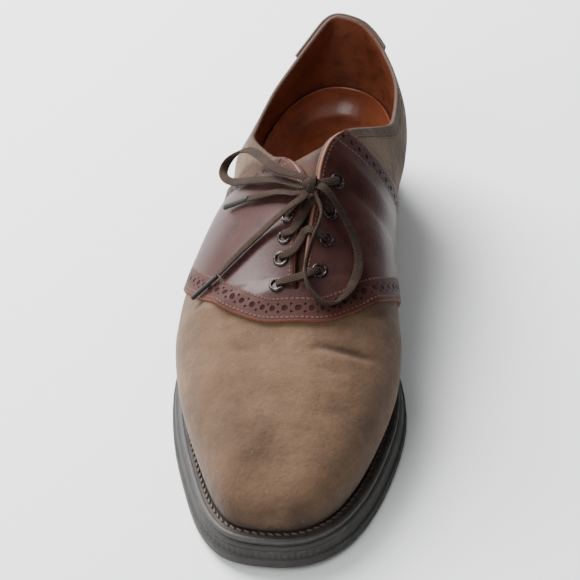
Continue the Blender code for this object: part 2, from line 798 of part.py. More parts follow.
def make_eyelet(name, side, row, finish, holder):
    """A rolled flange over the saddle with a barrel down through the wall."""
    bore, flange, barrel = EYELET_BORE / 2, EYELET_FLANGE / 2, EYELET_BARREL / 2
    low, top = EYELET_LIFT, EYELET_LIFT + EYELET_PROUD
    depth = -(OVERLAY_GAP + SADDLE_THICKNESS + UPPER_WALL)
    profile = (
        (bore, depth), (barrel, depth), (barrel, low), (flange, low),
        (flange - 0.3 * EYELET_PROUD, top), (bore + 0.3 * EYELET_PROUD, top),
    )
    mesh = bpy.data.meshes.new(name)
    count = len(profile)
    mesh.from_pydata(
        [(across, 0, up) for across, up in profile],
        [(i, (i + 1) % count) for i in range(count)], [],
    )
    made = add_object(name, mesh, finish, holder)
    turned = made.modifiers.new("turned", "SCREW")
    turned.steps = turned.render_steps = ROUND_STEPS
    turned.use_merge_vertices = True
    turned.merge_threshold = 0.02 * MM
    turned.use_normal_calculate = True
    turned.use_normal_flip = True
    centre, normal = eyelet_frame(side, row)
    return posed(made, centre, normal)


def strap(name, points, sideways, widths, finish, holder):
    """A flat lace along points, as wide as given at each."""
    sideways = sideways / np.linalg.norm(sideways, axis=1, keepdims=True)
    half = sideways * np.asarray(widths)[:, None] / 2
    edges = np.stack([points - half, points + half], 1)
    made = mesh_object(name, edges, sheet_faces(len(points), 2), finish, holder)
    solid = made.modifiers.new("thickness", "SOLIDIFY")
    solid.thickness = LACE_THICKNESS
    solid.offset = 0
    solid.use_even_offset = False
    return made


def facing_edge(side, row):
    """Edge of the saddle nearest an eyelet, raised by half a lace and its clearance."""
    turn, _ = eyelet_place(side, row)
    rise = OVERLAY_GAP + SADDLE_THICKNESS + 4 * CLEARANCE + LACE_THICKNESS / 2
    return upper_offset(side, turn, 1.0, rise)


def lace_from(side, row):
    """Points of a lace out of an eyelet, over its flange and towards the throat."""
    centre, normal = eyelet_frame(side, row)
    edge = facing_edge(side, row)
    rise = EYELET_LIFT + 2 * CLEARANCE + EYELET_PROUD + LACE_THICKNESS / 2
    inward = edge - centre
    inward -= normal * (inward @ normal)
    inward /= np.linalg.norm(inward)
    return [
        centre - normal * LACE_TUCK,
        centre + normal * (rise - CLEARANCE) + inward * LACE_THICKNESS / 2,
        centre + normal * (rise + CLEARANCE) + inward * EYELET_FLANGE / 2,
    ], edge, inward, normal


def crossing_strap(name, side, row, finish, holder):
    """A lace from an eyelet over the facing's edge and down into the throat."""
    start, edge, inward, normal = lace_from(side, row)
    far = facing_edge(-side, row)
    dip = edge + (far - edge) * 0.62 - np.array([0, 0, 1]) * LACE_THICKNESS
    points = np.array(start + [edge + inward * CLEARANCE, dip])
    sideways = np.cross(inward, normal)
    return strap(
        name, points, np.tile(sideways, (len(points), 1)),
        [0.62 * LACE_WIDTH, 0.7 * LACE_WIDTH, LACE_WIDTH, LACE_WIDTH, LACE_WIDTH], finish, holder,
    )


def make_crossing(name, row, finish, holder, cutters):
    """Two laces that meet in the throat, joined as one solid."""
    made = crossing_strap(name, -1, row, finish, holder)
    other = hide_cutter(crossing_strap(name + "_other", 1, row, finish, cutters))
    boolean(made, other, "UNION")
    return made


def make_bar(name, row, finish, holder):
    """A lace straight across the throat from eyelet to eyelet."""
    left, left_edge, left_in, left_normal = lace_from(-1, row)
    right, right_edge, right_in, right_normal = lace_from(1, row)
    points = np.array(left + [left_edge, right_edge] + right[::-1])
    across = np.array(
        [np.cross(left_in, left_normal)] * 4 + [-np.cross(right_in, right_normal)] * 4
    )
    widths = np.array([0.62, 0.7, 1, 1, 1, 1, 0.7, 0.62]) * LACE_WIDTH
    return strap(name, points, across, widths, finish, holder)


def route(table):
    """Points of a lace route in metres."""
    sizes = (BALL_WIDTH, SHOE_LENGTH, INSTEP_HEIGHT)
    return np.stack(
        [column(table, ROUTE_COLUMNS, name) * size for name, size in zip(ROUTE_COLUMNS, sizes)], -1
    )


def smooth_route(points, step):
    """Points about a step apart on a smooth curve through the given ones."""
    place = np.arange(float(len(points)))
    count = max(len(points) - 1, 1) * 20 + 1
    fine = np.linspace(0, place[-1], count)
    if len(points) > 2:
        line = np.stack([spline(place, points[:, i], fine) for i in range(3)], -1)
    else:
        line = points[0] + (points[1] - points[0]) * fine[:, None]
    gone = np.concatenate([[0], np.cumsum(np.linalg.norm(np.diff(line, axis=0), axis=1))])
    even = np.linspace(0, gone[-1], max(int(round(gone[-1] / step)), 1) + 1)
    return np.stack([np.interp(even, gone, line[:, i]) for i in range(3)], -1)


def make_cord(name, table, diameter, finish, holder):
    """A round cord along a route, its ends capped."""
    points = smooth_route(route(table), 3 * diameter)
    curve = bpy.data.curves.new(name, "CURVE")
    curve.dimensions = "3D"
    curve.bevel_depth = diameter / 2
    curve.bevel_resolution = 2
    curve.use_fill_caps = True
    line = curve.splines.new("POLY")
    line.points.add(len(points) - 1)
    for point, place in zip(line.points, points):
        point.co = (*place, 1)
    return add_object(name, curve, finish, holder)


def make_knot(finish, holder):
    mesh = bpy.data.meshes.new("lace_knot")
    work = bmesh.new()
    bmesh.ops.create_uvsphere(work, u_segments=ROUND_STEPS, v_segments=8, radius=0.5)
    bmesh.ops.scale(work, vec=KNOT_SIZE, verts=work.verts)
    bmesh.ops.translate(work, vec=route(KNOT)[0], verts=work.verts)
    work.to_mesh(mesh)
    work.free()
    mesh.shade_smooth()
    return add_object("lace_knot", mesh, finish, holder)


def clear_scene():
    for old in list(bpy.data.objects):
        bpy.data.objects.remove(old, do_unlink=True)


def main():
    clear_scene()
    shoe = new_collection("saddle_shoe")
    cutters = new_collection("cutters")
    nubuck = material("tan nubuck", (0.20, 0.13, 0.085), 0.95)
    brown = material("brown leather", (0.085, 0.032, 0.026), 0.45)
    lining = material("russet lining", (0.36, 0.13, 0.045), 0.4)
    rubber = material("dark rubber", (0.045, 0.044, 0.042), 0.7)
    welt_leather = material("brown welt", (0.05, 0.037, 0.028), 0.7)
    make_outsole(rubber, shoe, cutters)
    make_heel(rubber, shoe, cutters)
    make_welt(welt_leather, shoe)
    make_insole(lining, shoe)
    upper = make_upper(nubuck, shoe)
    saddle = make_saddle(brown, shoe)
    make_heel_stay(brown, shoe)
    make_tongue(brown, shoe)
    holes = make_eyelet_holes(cutters)
    boolean(upper, holes)
    boolean(saddle, holes)
    metal = material("dark eyelets", (0.10, 0.095, 0.09), 0.3, 1.0)
    lace = material("brown lace", (0.06, 0.048, 0.04), 0.9)
    tips = material("lace tips", (0.05, 0.045, 0.04), 0.35)
    for row in range(len(EYELETS)):
        make_eyelet(f"eyelet_lateral_{row + 1}", -1, row, metal, shoe)
        make_eyelet(f"eyelet_medial_{row + 1}", 1, row, metal, shoe)
    make_bar("lace_bar", 0, lace, shoe)
    make_crossing("lace_cross_2", 1, lace, shoe, cutters)
    make_crossing("lace_cross_3", 2, lace, shoe, cutters)
    make_crossing("lace_top", 3, lace, shoe, cutters)
    make_knot(lace, shoe)
    make_cord("lace_loop_lateral", LOOP_LATERAL, CORD_DIAMETER, lace, shoe)
    make_cord("lace_loop_medial", LOOP_MEDIAL, CORD_DIAMETER, lace, shoe)
    make_cord("lace_end_short", END_SHORT, CORD_DIAMETER, lace, shoe)
    make_cord("lace_end_long", END_LONG, CORD_DIAMETER, lace, shoe)
    make_cord("aglet_short", TIP_SHORT, AGLET_DIAMETER, tips, shoe)
    make_cord("aglet_long", TIP_LONG, AGLET_DIAMETER, tips, shoe)


main()
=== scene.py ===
import bmesh
import bpy
import numpy as np
from mathutils import Matrix, Vector


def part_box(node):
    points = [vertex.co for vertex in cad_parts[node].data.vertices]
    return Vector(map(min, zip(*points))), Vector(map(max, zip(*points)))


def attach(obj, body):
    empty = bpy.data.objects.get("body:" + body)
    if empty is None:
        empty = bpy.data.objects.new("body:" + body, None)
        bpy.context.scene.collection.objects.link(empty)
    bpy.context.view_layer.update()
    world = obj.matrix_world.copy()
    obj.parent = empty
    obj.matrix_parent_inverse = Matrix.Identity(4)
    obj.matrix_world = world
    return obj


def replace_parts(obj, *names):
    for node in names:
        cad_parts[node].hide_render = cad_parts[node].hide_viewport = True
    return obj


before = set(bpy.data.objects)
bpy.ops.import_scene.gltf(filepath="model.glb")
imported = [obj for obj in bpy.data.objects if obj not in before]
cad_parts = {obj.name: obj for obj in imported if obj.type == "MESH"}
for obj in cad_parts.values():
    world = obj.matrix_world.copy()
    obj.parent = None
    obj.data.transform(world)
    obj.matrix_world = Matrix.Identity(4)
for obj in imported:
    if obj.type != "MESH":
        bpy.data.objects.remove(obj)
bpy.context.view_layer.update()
print("frame loaded")

mm = 0.001

# sizes of the last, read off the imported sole; the rest as in the solids
soleLow, soleHigh = (np.array(corner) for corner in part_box("outsole"))
shoe = {
    "length": soleHigh[1] - soleLow[1],
    "ballWidth": soleHigh[0] - soleLow[0],
    "instepHeight": 103 * mm,
    "collarHeight": 96 * mm,
    "heelHeight": 16 * mm,
    "toeSpring": 4 * mm,
    "soleThickness": 15 * mm,
    "clearance": 0.3 * mm,
    "overlayGap": 0.6 * mm,
    "wall": 2.0 * mm,
    "weltWidth": 5.8 * mm,
    "weltThickness": 3.2 * mm,
    "weltTuck": 3.5 * mm,
    "flare": 3.2 * mm,
}

# ground outline: distances from the axis, shares of the ball width
planColumns = ("along", "lateral", "medial")
planTable = (
    (-0.5000, 0.000, 0.000),
    (-0.4961, 0.112, 0.104),
    (-0.4804, 0.200, 0.200),
    (-0.4526, 0.266, 0.282),
    (-0.4118, 0.326, 0.349),
    (-0.3529, 0.388, 0.406),
    (-0.2876, 0.449, 0.446),
    (-0.2157, 0.496, 0.470),
    (-0.1405, 0.522, 0.458),
    (-0.0588, 0.509, 0.398),
    (0.0260, 0.453, 0.323),
    (0.1110, 0.394, 0.275),
    (0.1960, 0.347, 0.266),
    (0.2810, 0.322, 0.284),
    (0.3595, 0.306, 0.289),
    (0.4250, 0.266, 0.260),
    (0.4706, 0.188, 0.190),
    (0.4935, 0.094, 0.096),
    (0.5000, 0.000, 0.000),
)

# underside and margins of the sole along the length
bedColumns = ("along", "spring", "pitch", "flare", "welt")
bedTable = (
    (-0.50, 1.00, 0.00, 0.85, 1.00),
    (-0.45, 0.56, 0.00, 0.95, 1.00),
    (-0.40, 0.22, 0.00, 1.00, 1.00),
    (-0.35, 0.00, 0.00, 1.00, 1.00),
    (-0.12, 0.00, 0.00, 1.00, 0.95),
    (0.00, 0.00, 0.20, 0.70, 0.65),
    (0.12, 0.00, 0.58, 0.45, 0.45),
    (0.24, 0.00, 0.88, 0.45, 0.45),
    (0.50, 0.00, 1.00, 0.45, 0.50),
)

# sections of the upper, keyed by the station at the foot
sectionColumns = (
    "along", "top", "mid", "half", "instep", "back",
    "lift", "skew", "lean", "arrive", "rise", "reach",
)
sectionTable = (
    (-0.50, -0.346, 0.022, 0.000, 0.495, 0.000, 0.000, 0.000, 14, 0, 0.38, 0.50),
    (-0.45, -0.340, 0.022, 0.000, 0.503, 0.000, 0.000, 0.000, 16, 0, 0.38, 0.50),
    (-0.38, -0.310, 0.027, 0.000, 0.534, 0.000, 0.000, 0.000, 22, 0, 0.40, 0.52),
    (-0.30, -0.261, 0.028, 0.000, 0.580, 0.000, 0.000, 0.000, 28, 0, 0.44, 0.54),
    (-0.20, -0.193, 0.027, 0.000, 0.652, 0.000, 0.000, 0.000, 33, 0, 0.45, 0.54),
    (-0.15, -0.150, 0.021, 0.000, 0.716, 0.000, 0.000, 0.000, 35, 0, 0.44, 0.52),
    (-0.12, -0.124, 0.020, 0.029, 0.758, 0.000, 0.012, 0.000, 37, 9, 0.43, 0.50),
    (-0.05, -0.062, 0.020, 0.049, 0.869, 0.000, 0.014, 0.000, 40, 25, 0.42, 0.44),
    (0.03, 0.013, 0.028, 0.067, 0.985, 0.000, 0.015, 0.000, 42, 36, 0.42, 0.36),
    (0.09, 0.065, 0.005, 0.210, 1.020, 0.000, 0.053, 0.001, 43, 46, 0.43, 0.33),
    (0.14, 0.111, -0.003, 0.440, 0.961, 0.000, 0.073, 0.010, 44, 54, 0.46, 0.33),
    (0.19, 0.163, 0.001, 0.714, 0.700, 0.182, 0.044, 0.020, 44, 60, 0.52, 0.34),
    (0.26, 0.242, 0.001, 1.000, 0.400, 0.390, 0.005, 0.025, 42, 64, 0.56, 0.35),
    (0.34, 0.324, 0.022, 0.930, 0.150, 0.680, 0.000, 0.023, 34, 71, 0.48, 0.35),
    (0.42, 0.405, 0.027, 0.730, 0.000, 0.906, 0.000, 0.020, 24, 78, 0.42, 0.35),
    (0.47, 0.454, 0.018, 0.570, 0.000, 0.969, 0.000, 0.013, 17, 81, 0.40, 0.35),
    (0.50, 0.479, 0.000, 0.500, 0.000, 1.000, 0.000, 0.000, 13, 82, 0.40, 0.35),
)

# edges of the saddle and the heel stay: foot station of the section crossed at each height
saddleColumns = ("up", "front", "rearLateral", "rearMedial")
saddleTable = (
    (0.00, 0.000, 0.190, 0.170),
    (0.25, -0.040, 0.180, 0.160),
    (0.50, -0.105, 0.168, 0.152),
    (0.75, -0.170, 0.152, 0.146),
    (0.90, -0.194, 0.142, 0.142),
    (1.00, -0.198, 0.138, 0.138),
)
stayColumns = ("up", "edge")
stayTable = (
    (0.00, 0.462),
    (0.30, 0.470),
    (0.60, 0.464),
    (0.85, 0.440),
    (1.00, 0.425),
)


# one named column of a table, as an array
def column(table, names, name):
    return np.array([row[names.index(name)] for row in table], float)


# vectors brought to length one
def unit(vectors):
    return vectors / np.linalg.norm(vectors, axis=-1, keepdims=True)


# length along a line, from its start to each of its points
def lengthAlong(line):
    return np.concatenate([[0], np.cumsum(np.linalg.norm(np.diff(line, axis=0), axis=1))])


# points of a line at given lengths along it, straight between its own points
def pointsAt(at, arc, line):
    return np.stack([np.interp(at, arc, line[:, i]) for i in range(3)], -1)


# cubic through the knots with matching curvature, straight at both ends
def spline(knots, values, at):
    step = np.diff(knots)
    rise = np.diff(values) / step
    count = len(knots)
    matrix = np.eye(count)
    right = np.zeros(count)
    for i in range(1, count - 1):
        matrix[i, i - 1:i + 2] = step[i - 1], 2 * (step[i - 1] + step[i]), step[i]
        right[i] = 6 * (rise[i] - rise[i - 1])
    bend = np.linalg.solve(matrix, right)
    i = np.clip(np.searchsorted(knots, at, side="right") - 1, 0, count - 2)
    t = at - knots[i]
    slope = rise[i] - step[i] * (2 * bend[i] + bend[i + 1]) / 6
    return values[i] + t * (slope + t * (bend[i] / 2 + t * (bend[i + 1] - bend[i]) / (6 * step[i])))


# cubic through the knots that never passes beyond two neighbours
def monotone(knots, values, at):
    step = np.diff(knots)
    rise = np.diff(values) / step
    slope = np.zeros(len(knots))
    same = rise[:-1] * rise[1:] > 0
    first, second = 2 * step[1:] + step[:-1], step[1:] + 2 * step[:-1]
    safe = np.where(same, rise[:-1], 1), np.where(same, rise[1:], 1)
    slope[1:-1] = np.where(same, (first + second) / (first / safe[0] + second / safe[1]), 0)
    slope[0], slope[-1] = rise[0], rise[-1]
    i = np.clip(np.searchsorted(knots, at, side="right") - 1, 0, len(step) - 1)
    t = (at - knots[i]) / step[i]
    return (
        values[i] * (1 + 2 * t) * (1 - t) ** 2
        + values[i + 1] * t * t * (3 - 2 * t)
        + step[i] * t * (1 - t) * (slope[i] * (1 - t) - slope[i + 1] * t)
    )


# a plan column at a row number, mirrored beyond the toe and heel so it rounds them
def plan(name, turn):
    values = column(planTable, planColumns, name)
    sign = 1 if name == "along" else -1
    low = 2 * values[0] * (sign < 0) + sign * values[2:0:-1]
    high = 2 * values[-1] * (sign < 0) + sign * values[-2:-4:-1]
    rows = np.arange(-2.0, len(values) + 2)
    return spline(rows, np.concatenate([low, values, high]), turn)


# a column of the bed table at places along the shoe
def bed(name, along):
    return monotone(column(bedTable, bedColumns, "along"), column(bedTable, bedColumns, name), along)


# height of the sole's underside: toe spring in front, the heel's height behind
def underside(along):
    return shoe["toeSpring"] * bed("spring", along) + shoe["heelHeight"] * bed("pitch", along)


# height of the sole's upper face, where the upper starts
def bedTop(along):
    return underside(along) + shoe["soleThickness"]


lastRow = len(planTable) - 1.0
fineRows = np.linspace(0, lastRow, 2400)
axisAcross = (plan("lateral", fineRows).max() - plan("medial", fineRows).max()) / 2 * shoe["ballWidth"]
sideName = {-1: "lateral", 1: "medial"}  # a side is -1 or 1 everywhere below


# outline point on the floor
def ground(side, turn):
    across = axisAcross + side * plan(sideName[side], turn) * shoe["ballWidth"]
    return np.stack([across, plan("along", turn) * shoe["length"]], -1)


# unit vector in the plan, square to the outline and away from the foot
def outward(side, turn):
    run = unit(ground(side, turn + 0.01) - ground(side, turn - 0.01))
    return side * np.stack([run[..., 1], -run[..., 0]], -1)


# outline drawn in by shares of the flare and the welt, and by a length
def inset(side, turn, flare, welt, more=0.0):
    along = plan("along", turn)
    depth = (
        flare * shoe["flare"] * bed("flare", along) + welt * shoe["weltWidth"] * bed("welt", along) + more
    )
    return ground(side, turn) - outward(side, turn) * np.asarray(depth)[..., None]


# row numbers spaced evenly along the outline
def stations(count, first=0.0, last=lastRow):
    fine = np.linspace(first, last, 1600)
    ways = [np.linalg.norm(np.diff(ground(side, fine), axis=0), axis=1) for side in (-1, 1)]
    length = np.concatenate([[0], np.cumsum(ways[0] + ways[1])])
    return np.interp(np.linspace(0, length[-1], count + 1), length, fine)


# row number of a place along the shoe
def turnAt(along):
    return np.interp(along, plan("along", fineRows), fineRows)


# a column of the section table at places along the shoe; exact never passes beyond the knots
def section(name, along, exact=False):
    knots = column(sectionTable, sectionColumns, "along")
    values = column(sectionTable, sectionColumns, name)
    return (monotone if exact else spline)(knots, values, along)


# where the upper ends: the ridge over the vamp, the facing, then the collar
def topEdge(side, turn):
    along = plan("along", turn)
    outline = (plan("lateral", turn) + plan("medial", turn)) / 2 * shoe["ballWidth"]
    mid = axisAcross + section("mid", along) * shoe["ballWidth"]
    half = section("half", along, exact=True) * outline
    height = section("instep", along) * shoe["instepHeight"] + section("back", along) * shoe["collarHeight"]
    lift = section("lift", along, exact=True) * shoe["instepHeight"]
    skew = section("skew", along, exact=True) * shoe["length"]
    run = section("top", along) * shoe["length"]
    return np.stack([mid + side * half, run + side * skew, height + side * lift], -1)


# cubic from the welt (up 0) to the top edge (up 1), leaning out at the foot
def upperPoint(side, turn, up):
    turn, up = np.broadcast_arrays(np.asarray(turn, float), np.asarray(up, float))
    along = plan("along", turn)
    foot = np.concatenate(
        [inset(side, turn, 1, 1), (bedTop(along) + shoe["clearance"])[..., None]], -1
    )
    top = topEdge(side, turn)
    span = np.linalg.norm(top - foot, axis=-1)
    flat = outward(side, turn)
    lean = np.radians(section("lean", along))
    arrive = np.radians(np.maximum(section("arrive", along, exact=True), 0))
    middle = np.clip(turn, 1, len(planTable) - 2)
    ridge = [topEdge(side, middle + d) for d in (-0.05, 0.05)]
    climb = (ridge[1][..., 2] - ridge[0][..., 2]) / (ridge[1][..., 1] - ridge[0][..., 1])
    climb = climb * np.cos(arrive) ** 4
    start = np.concatenate([flat * np.sin(lean)[..., None], np.cos(lean)[..., None]], -1)
    fall = flat[..., 1] * climb * np.cos(arrive) - np.sin(arrive)
    end = np.concatenate([flat * np.cos(arrive)[..., None], fall[..., None]], -1)
    first = foot + start * (section("rise", along) * span)[..., None]
    second = top + end * (section("reach", along) * span)[..., None]
    t = up[..., None]
    return (
        foot * (1 - t) ** 3 + 3 * first * t * (1 - t) ** 2
        + 3 * second * t * t * (1 - t) + top * t ** 3
    )


# straight out of the upper: square to a small step round it and a small step up it
def upperNormal(side, turn, up):
    turn, up = np.broadcast_arrays(np.asarray(turn, float), np.asarray(up, float))
    up = np.clip(up, 0.004, 0.996)
    across = upperPoint(side, turn, up + 0.004) - upperPoint(side, turn, up - 0.004)
    around = upperPoint(side, turn + 0.004, up) - upperPoint(side, turn - 0.004, up)
    return unit(side * np.cross(around, across))


# creases: soft troughs with a low ridge beside, along lines in shares of ball width and
# length; how deep and wide they are is in millimetres
creases = (
    {"deep": 1.15, "wide": 2.4,
     "line": ((0.07, -0.229), (0.15, -0.222), (0.23, -0.221), (0.30, -0.217), (0.37, -0.209))},
    {"deep": 0.45, "wide": 3.4, "line": ((0.10, -0.252), (0.19, -0.253), (0.28, -0.247))},
    {"deep": 0.40, "wide": 3.8, "line": ((-0.27, -0.212), (-0.18, -0.228), (-0.08, -0.238))},
    {"deep": 0.35, "wide": 4.2, "line": ((0.12, -0.330), (0.22, -0.318), (0.31, -0.300))},
    {"deep": 0.30, "wide": 4.6, "line": ((-0.26, -0.300), (-0.16, -0.312), (-0.06, -0.318))},
    {"deep": 0.45, "wide": 3.4, "line": ((-0.34, -0.150), (-0.28, -0.170), (-0.20, -0.180))},
    {"deep": 0.60, "wide": 3.0, "line": ((0.30, -0.155), (0.36, -0.130), (0.40, -0.100))},
    {"deep": 0.45, "wide": 3.0, "line": ((-0.10, -0.125), (-0.16, -0.150), (-0.24, -0.160))},
    {"deep": 0.60, "wide": 4.0, "line": ((-0.36, 0.185), (-0.33, 0.230), (-0.32, 0.280))},
    {"deep": 0.50, "wide": 4.0, "line": ((0.34, 0.200), (0.36, 0.250), (0.35, 0.300))},
)


# height change at points: for each crease, a narrow trough less a wide low ridge,
# both bell curves of the distance in the plan, faded towards the crease's ends
def creaseHeight(points):
    change = np.zeros(points.shape[:-1])
    for crease in creases:
        line = np.array(crease["line"]) * (shoe["ballWidth"], shoe["length"])
        line[:, 0] += axisAcross
        wide = crease["wide"] * mm
        best = np.full(points.shape[:-1], 1.0)
        fade = np.zeros(points.shape[:-1])
        pieces = len(line) - 1
        for i in range(pieces):
            run = line[i + 1] - line[i]
            away = points[..., :2] - line[i]
            raw = (away @ run) / (run @ run)
            part = np.clip(raw, 0, 1)
            gap = np.linalg.norm(away - part[..., None] * run, axis=-1)
            place = (i + part) / pieces
            nearer = gap < best
            best = np.where(nearer, gap, best)
            fade = np.where(nearer, np.sin(np.pi * np.clip(place, 0, 1)) ** 0.7, fade)
        bell = np.exp(-(best / wide) ** 2)
        broad = np.exp(-(best / (2.6 * wide)) ** 2)
        change += crease["deep"] * mm * fade * (0.45 * broad - 1.25 * bell)
    return change


# the upper's outside moved out by a height, with the creases pressed in
def upperOffset(side, turn, up, height, creased=True):
    point = upperPoint(side, turn, up)
    lift = height + (creaseHeight(point) if creased else 0)
    return point + upperNormal(side, turn, up) * np.asarray(lift)[..., None]


# quads of a grid stored row by row; wrap joins the last column to the first
def gridFaces(rows, columns, wrap=False, flip=False):
    index = np.arange(rows * columns).reshape(rows, columns)
    if wrap:
        index = np.concatenate([index, index[:, :1]], axis=1)
    faces = np.stack([index[:-1, :-1], index[:-1, 1:], index[1:, 1:], index[1:, :-1]], -1)
    faces = faces.reshape(-1, 4)
    return faces[:, ::-1] if flip else faces


# a welded mesh from points and quads; maps holds one pair of numbers a point for each
# name; the faces of a closed one are turned outwards
def makePiece(name, points, faces, finishes, maps=None, weld=0.02 * mm, closed=True):
    flat = np.asarray(points, float).reshape(-1, 3)
    faces = np.asarray(faces)
    mesh = bpy.data.meshes.new(name)
    mesh.from_pydata(flat.tolist(), [], faces.tolist())
    for label, values in (maps or {}).items():
        layer = mesh.uv_layers.new(name=label)
        layer.data.foreach_set("uv", np.asarray(values, float).reshape(-1, 2)[faces.reshape(-1)].ravel())
    work = bmesh.new()
    work.from_mesh(mesh)
    bmesh.ops.remove_doubles(work, verts=work.verts, dist=weld)
    bmesh.ops.dissolve_degenerate(work, edges=work.edges, dist=0.001 * mm)
    if closed:
        bmesh.ops.recalc_face_normals(work, faces=work.faces)
    work.to_mesh(mesh)
    work.free()
    mesh.shade_smooth()
    piece = bpy.data.objects.new(name, mesh)
    bpy.context.scene.collection.objects.link(piece)
    for finish in finishes:
        mesh.materials.append(finish)
    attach(piece, "root")
    return piece


# a wall on a sheet, inwards at offset -1 and outwards at 1; inner and rim pick the finishes there
def thicken(piece, thickness, offset, inner=0, rim=0):
    wall = piece.modifiers.new("thickness", "SOLIDIFY")
    wall.thickness = thickness
    wall.offset = offset
    wall.use_even_offset = False
    wall.material_offset = inner
    wall.material_offset_rim = rim
    return piece


# arc length along a line and distance from it, for each point
def alongLine(points, line):
    flat = points.reshape(-1, 3)
    arc = lengthAlong(line)
    tangent = unit(np.gradient(line, axis=0))
    square = (flat ** 2).sum(1)[:, None] + (line ** 2).sum(1)[None] - 2 * flat @ line.T
    nearest = square.argmin(1)
    away = flat - line[nearest]
    shift = (away * tangent[nearest]).sum(1)
    gap = np.sqrt(np.maximum((away ** 2).sum(1) - shift ** 2, 0))
    return np.stack([arc[nearest] + shift, gap], -1).reshape(*points.shape[:-1], 2) / mm


# a line sampled again at an even step
def evenLine(line, step):
    arc = lengthAlong(line)
    return pointsAt(np.linspace(0, arc[-1], max(int(round(arc[-1] / step)), 1) + 1), arc, line)


# a socket with Python's operators, each adding its Math node
class Value:
    def __init__(self, paint, socket):
        self.paint = paint
        self.socket = socket

    def math(self, operation, first, second=None, clamp=False):
        return self.paint.math(operation, first, second, clamp)

    def __add__(self, other):
        return self.math("ADD", self, other)

    def __radd__(self, other):
        return self.math("ADD", other, self)

    def __sub__(self, other):
        return self.math("SUBTRACT", self, other)

    def __rsub__(self, other):
        return self.math("SUBTRACT", other, self)

    def __mul__(self, other):
        return self.math("MULTIPLY", self, other)

    def __rmul__(self, other):
        return self.math("MULTIPLY", other, self)

    def __truediv__(self, other):
        return self.math("DIVIDE", self, other)

    def __pow__(self, other):
        return self.math("POWER", self, other)

    # held between 0 and 1
    def clamped(self):
        return self.math("ADD", self, 0.0, True)

    # without its sign
    def size(self):
        return self.math("ABSOLUTE", self)

    # 0 below low, 1 above high, straight between
    def ramp(self, low, high):
        return ((self - low) * (1 / (high - low))).clamped()

    # distance to the nearest multiple of a pitch
    def fromPitch(self, pitch, shift=0.0):
        return self.math("PINGPONG", self + (shift + 1000 * pitch), pitch / 2)


# a colour given as 0 to 255, in the renderer's linear light
def linear(colour):
    shares = np.array(colour) / 255
    return (*np.where(shares < 0.04045, shares / 12.92, ((shares + 0.055) / 1.055) ** 2.4), 1.0)


# a material; each method adds nodes to it and gives back a Value, or a link for a colour
class Paint:
    def __init__(self, name, roughness=0.5, **fixed):
        self.finish = bpy.data.materials.new(name)
        self.finish.use_nodes = True
        self.tree = self.finish.node_tree
        self.shader = self.tree.nodes["Principled BSDF"]
        self.shader.inputs["Roughness"].default_value = roughness
        for socket, value in fixed.items():
            self.shader.inputs[socket.replace("_", " ")].default_value = value
        self.place = self.node("ShaderNodeTexCoord").outputs["Object"]

    # a node of a type: settings first, then values or links of its sockets
    def node(self, kind, settings=None, sockets=None):
        made = self.tree.nodes.new(kind)
        for label, value in (settings or {}).items():
            setattr(made, label, value)
        for label, value in (sockets or {}).items():
            self.feed(made.inputs[label], value)
        return made

    # a value or a link into a socket
    def feed(self, socket, value):
        value = value.socket if isinstance(value, Value) else value
        if isinstance(value, bpy.types.NodeSocket):
            self.tree.links.new(value, socket)
        else:
            socket.default_value = value

    # one Math node on values and numbers
    def math(self, operation, first, second=None, clamp=False):
        made = self.node("ShaderNodeMath", {"operation": operation, "use_clamp": clamp}, {0: first})
        if second is not None:
            self.feed(made.inputs[1], second)
        return Value(self, made.outputs[0])

    # soft clouds of a size in metres
    def noise(self, size, detail=3.0, rough=0.55, stretch=(1, 1, 1), shift=0.0):
        place = self.node("ShaderNodeMapping", {}, {
            "Vector": self.place, "Scale": stretch, "Location": (shift, shift, shift)
        }).outputs[0]
        made = self.node("ShaderNodeTexNoise", {}, {
            "Vector": place, "Scale": 1 / size, "Detail": detail, "Roughness": rough
        })
        return Value(self, made.outputs["Fac"])

    # distance from the middles of scattered cells of a size in metres
    def cells(self, size):
        made = self.node("ShaderNodeTexVoronoi", {}, {"Vector": self.place, "Scale": 1 / size})
        return Value(self, made.outputs["Distance"])

    # the two numbers of one of the piece's own maps
    def map(self, name):
        layer = self.node("ShaderNodeUVMap", {"uv_map": name}).outputs[0]
        parts = self.node("ShaderNodeSeparateXYZ", {}, {0: layer})
        return Value(self, parts.outputs[0]), Value(self, parts.outputs[1])

    # the place on the piece in millimetres: across, along and up
    def places(self):
        parts = self.node("ShaderNodeSeparateXYZ", {}, {0: self.place})
        return [Value(self, parts.outputs[i]) / mm for i in range(3)]

    # blend of two colours, each 0 to 255 or a link
    def mix(self, share, first, second):
        made = self.node("ShaderNodeMix", {"data_type": "RGBA"}, {0: share})
        for index, colour in ((6, first), (7, second)):
            self.feed(made.inputs[index], linear(colour) if isinstance(colour, tuple) else colour)
        return made.outputs[2]

    # a height turned into slopes; depth is what a height of one stands for
    def bump(self, height, depth):
        made = self.node("ShaderNodeBump", {}, {"Height": height, "Distance": depth, "Strength": 1.0})
        return made.outputs[0]

    # feeds what varies into the shader
    def finishWith(self, colour, rough=None, normal=None, coat=None):
        self.feed(self.shader.inputs["Base Color"], linear(colour) if isinstance(colour, tuple) else colour)
        for socket, value in (("Roughness", rough), ("Normal", normal), ("Coat Weight", coat)):
            if value is not None:
                self.feed(self.shader.inputs[socket], value)
        return self.finish


# the threads painted on the leather, in millimetres
stitchLook = {"pitch": 2.3, "length": 1.55, "half": 0.42, "softEnd": 0.12, "softSide": 0.15}


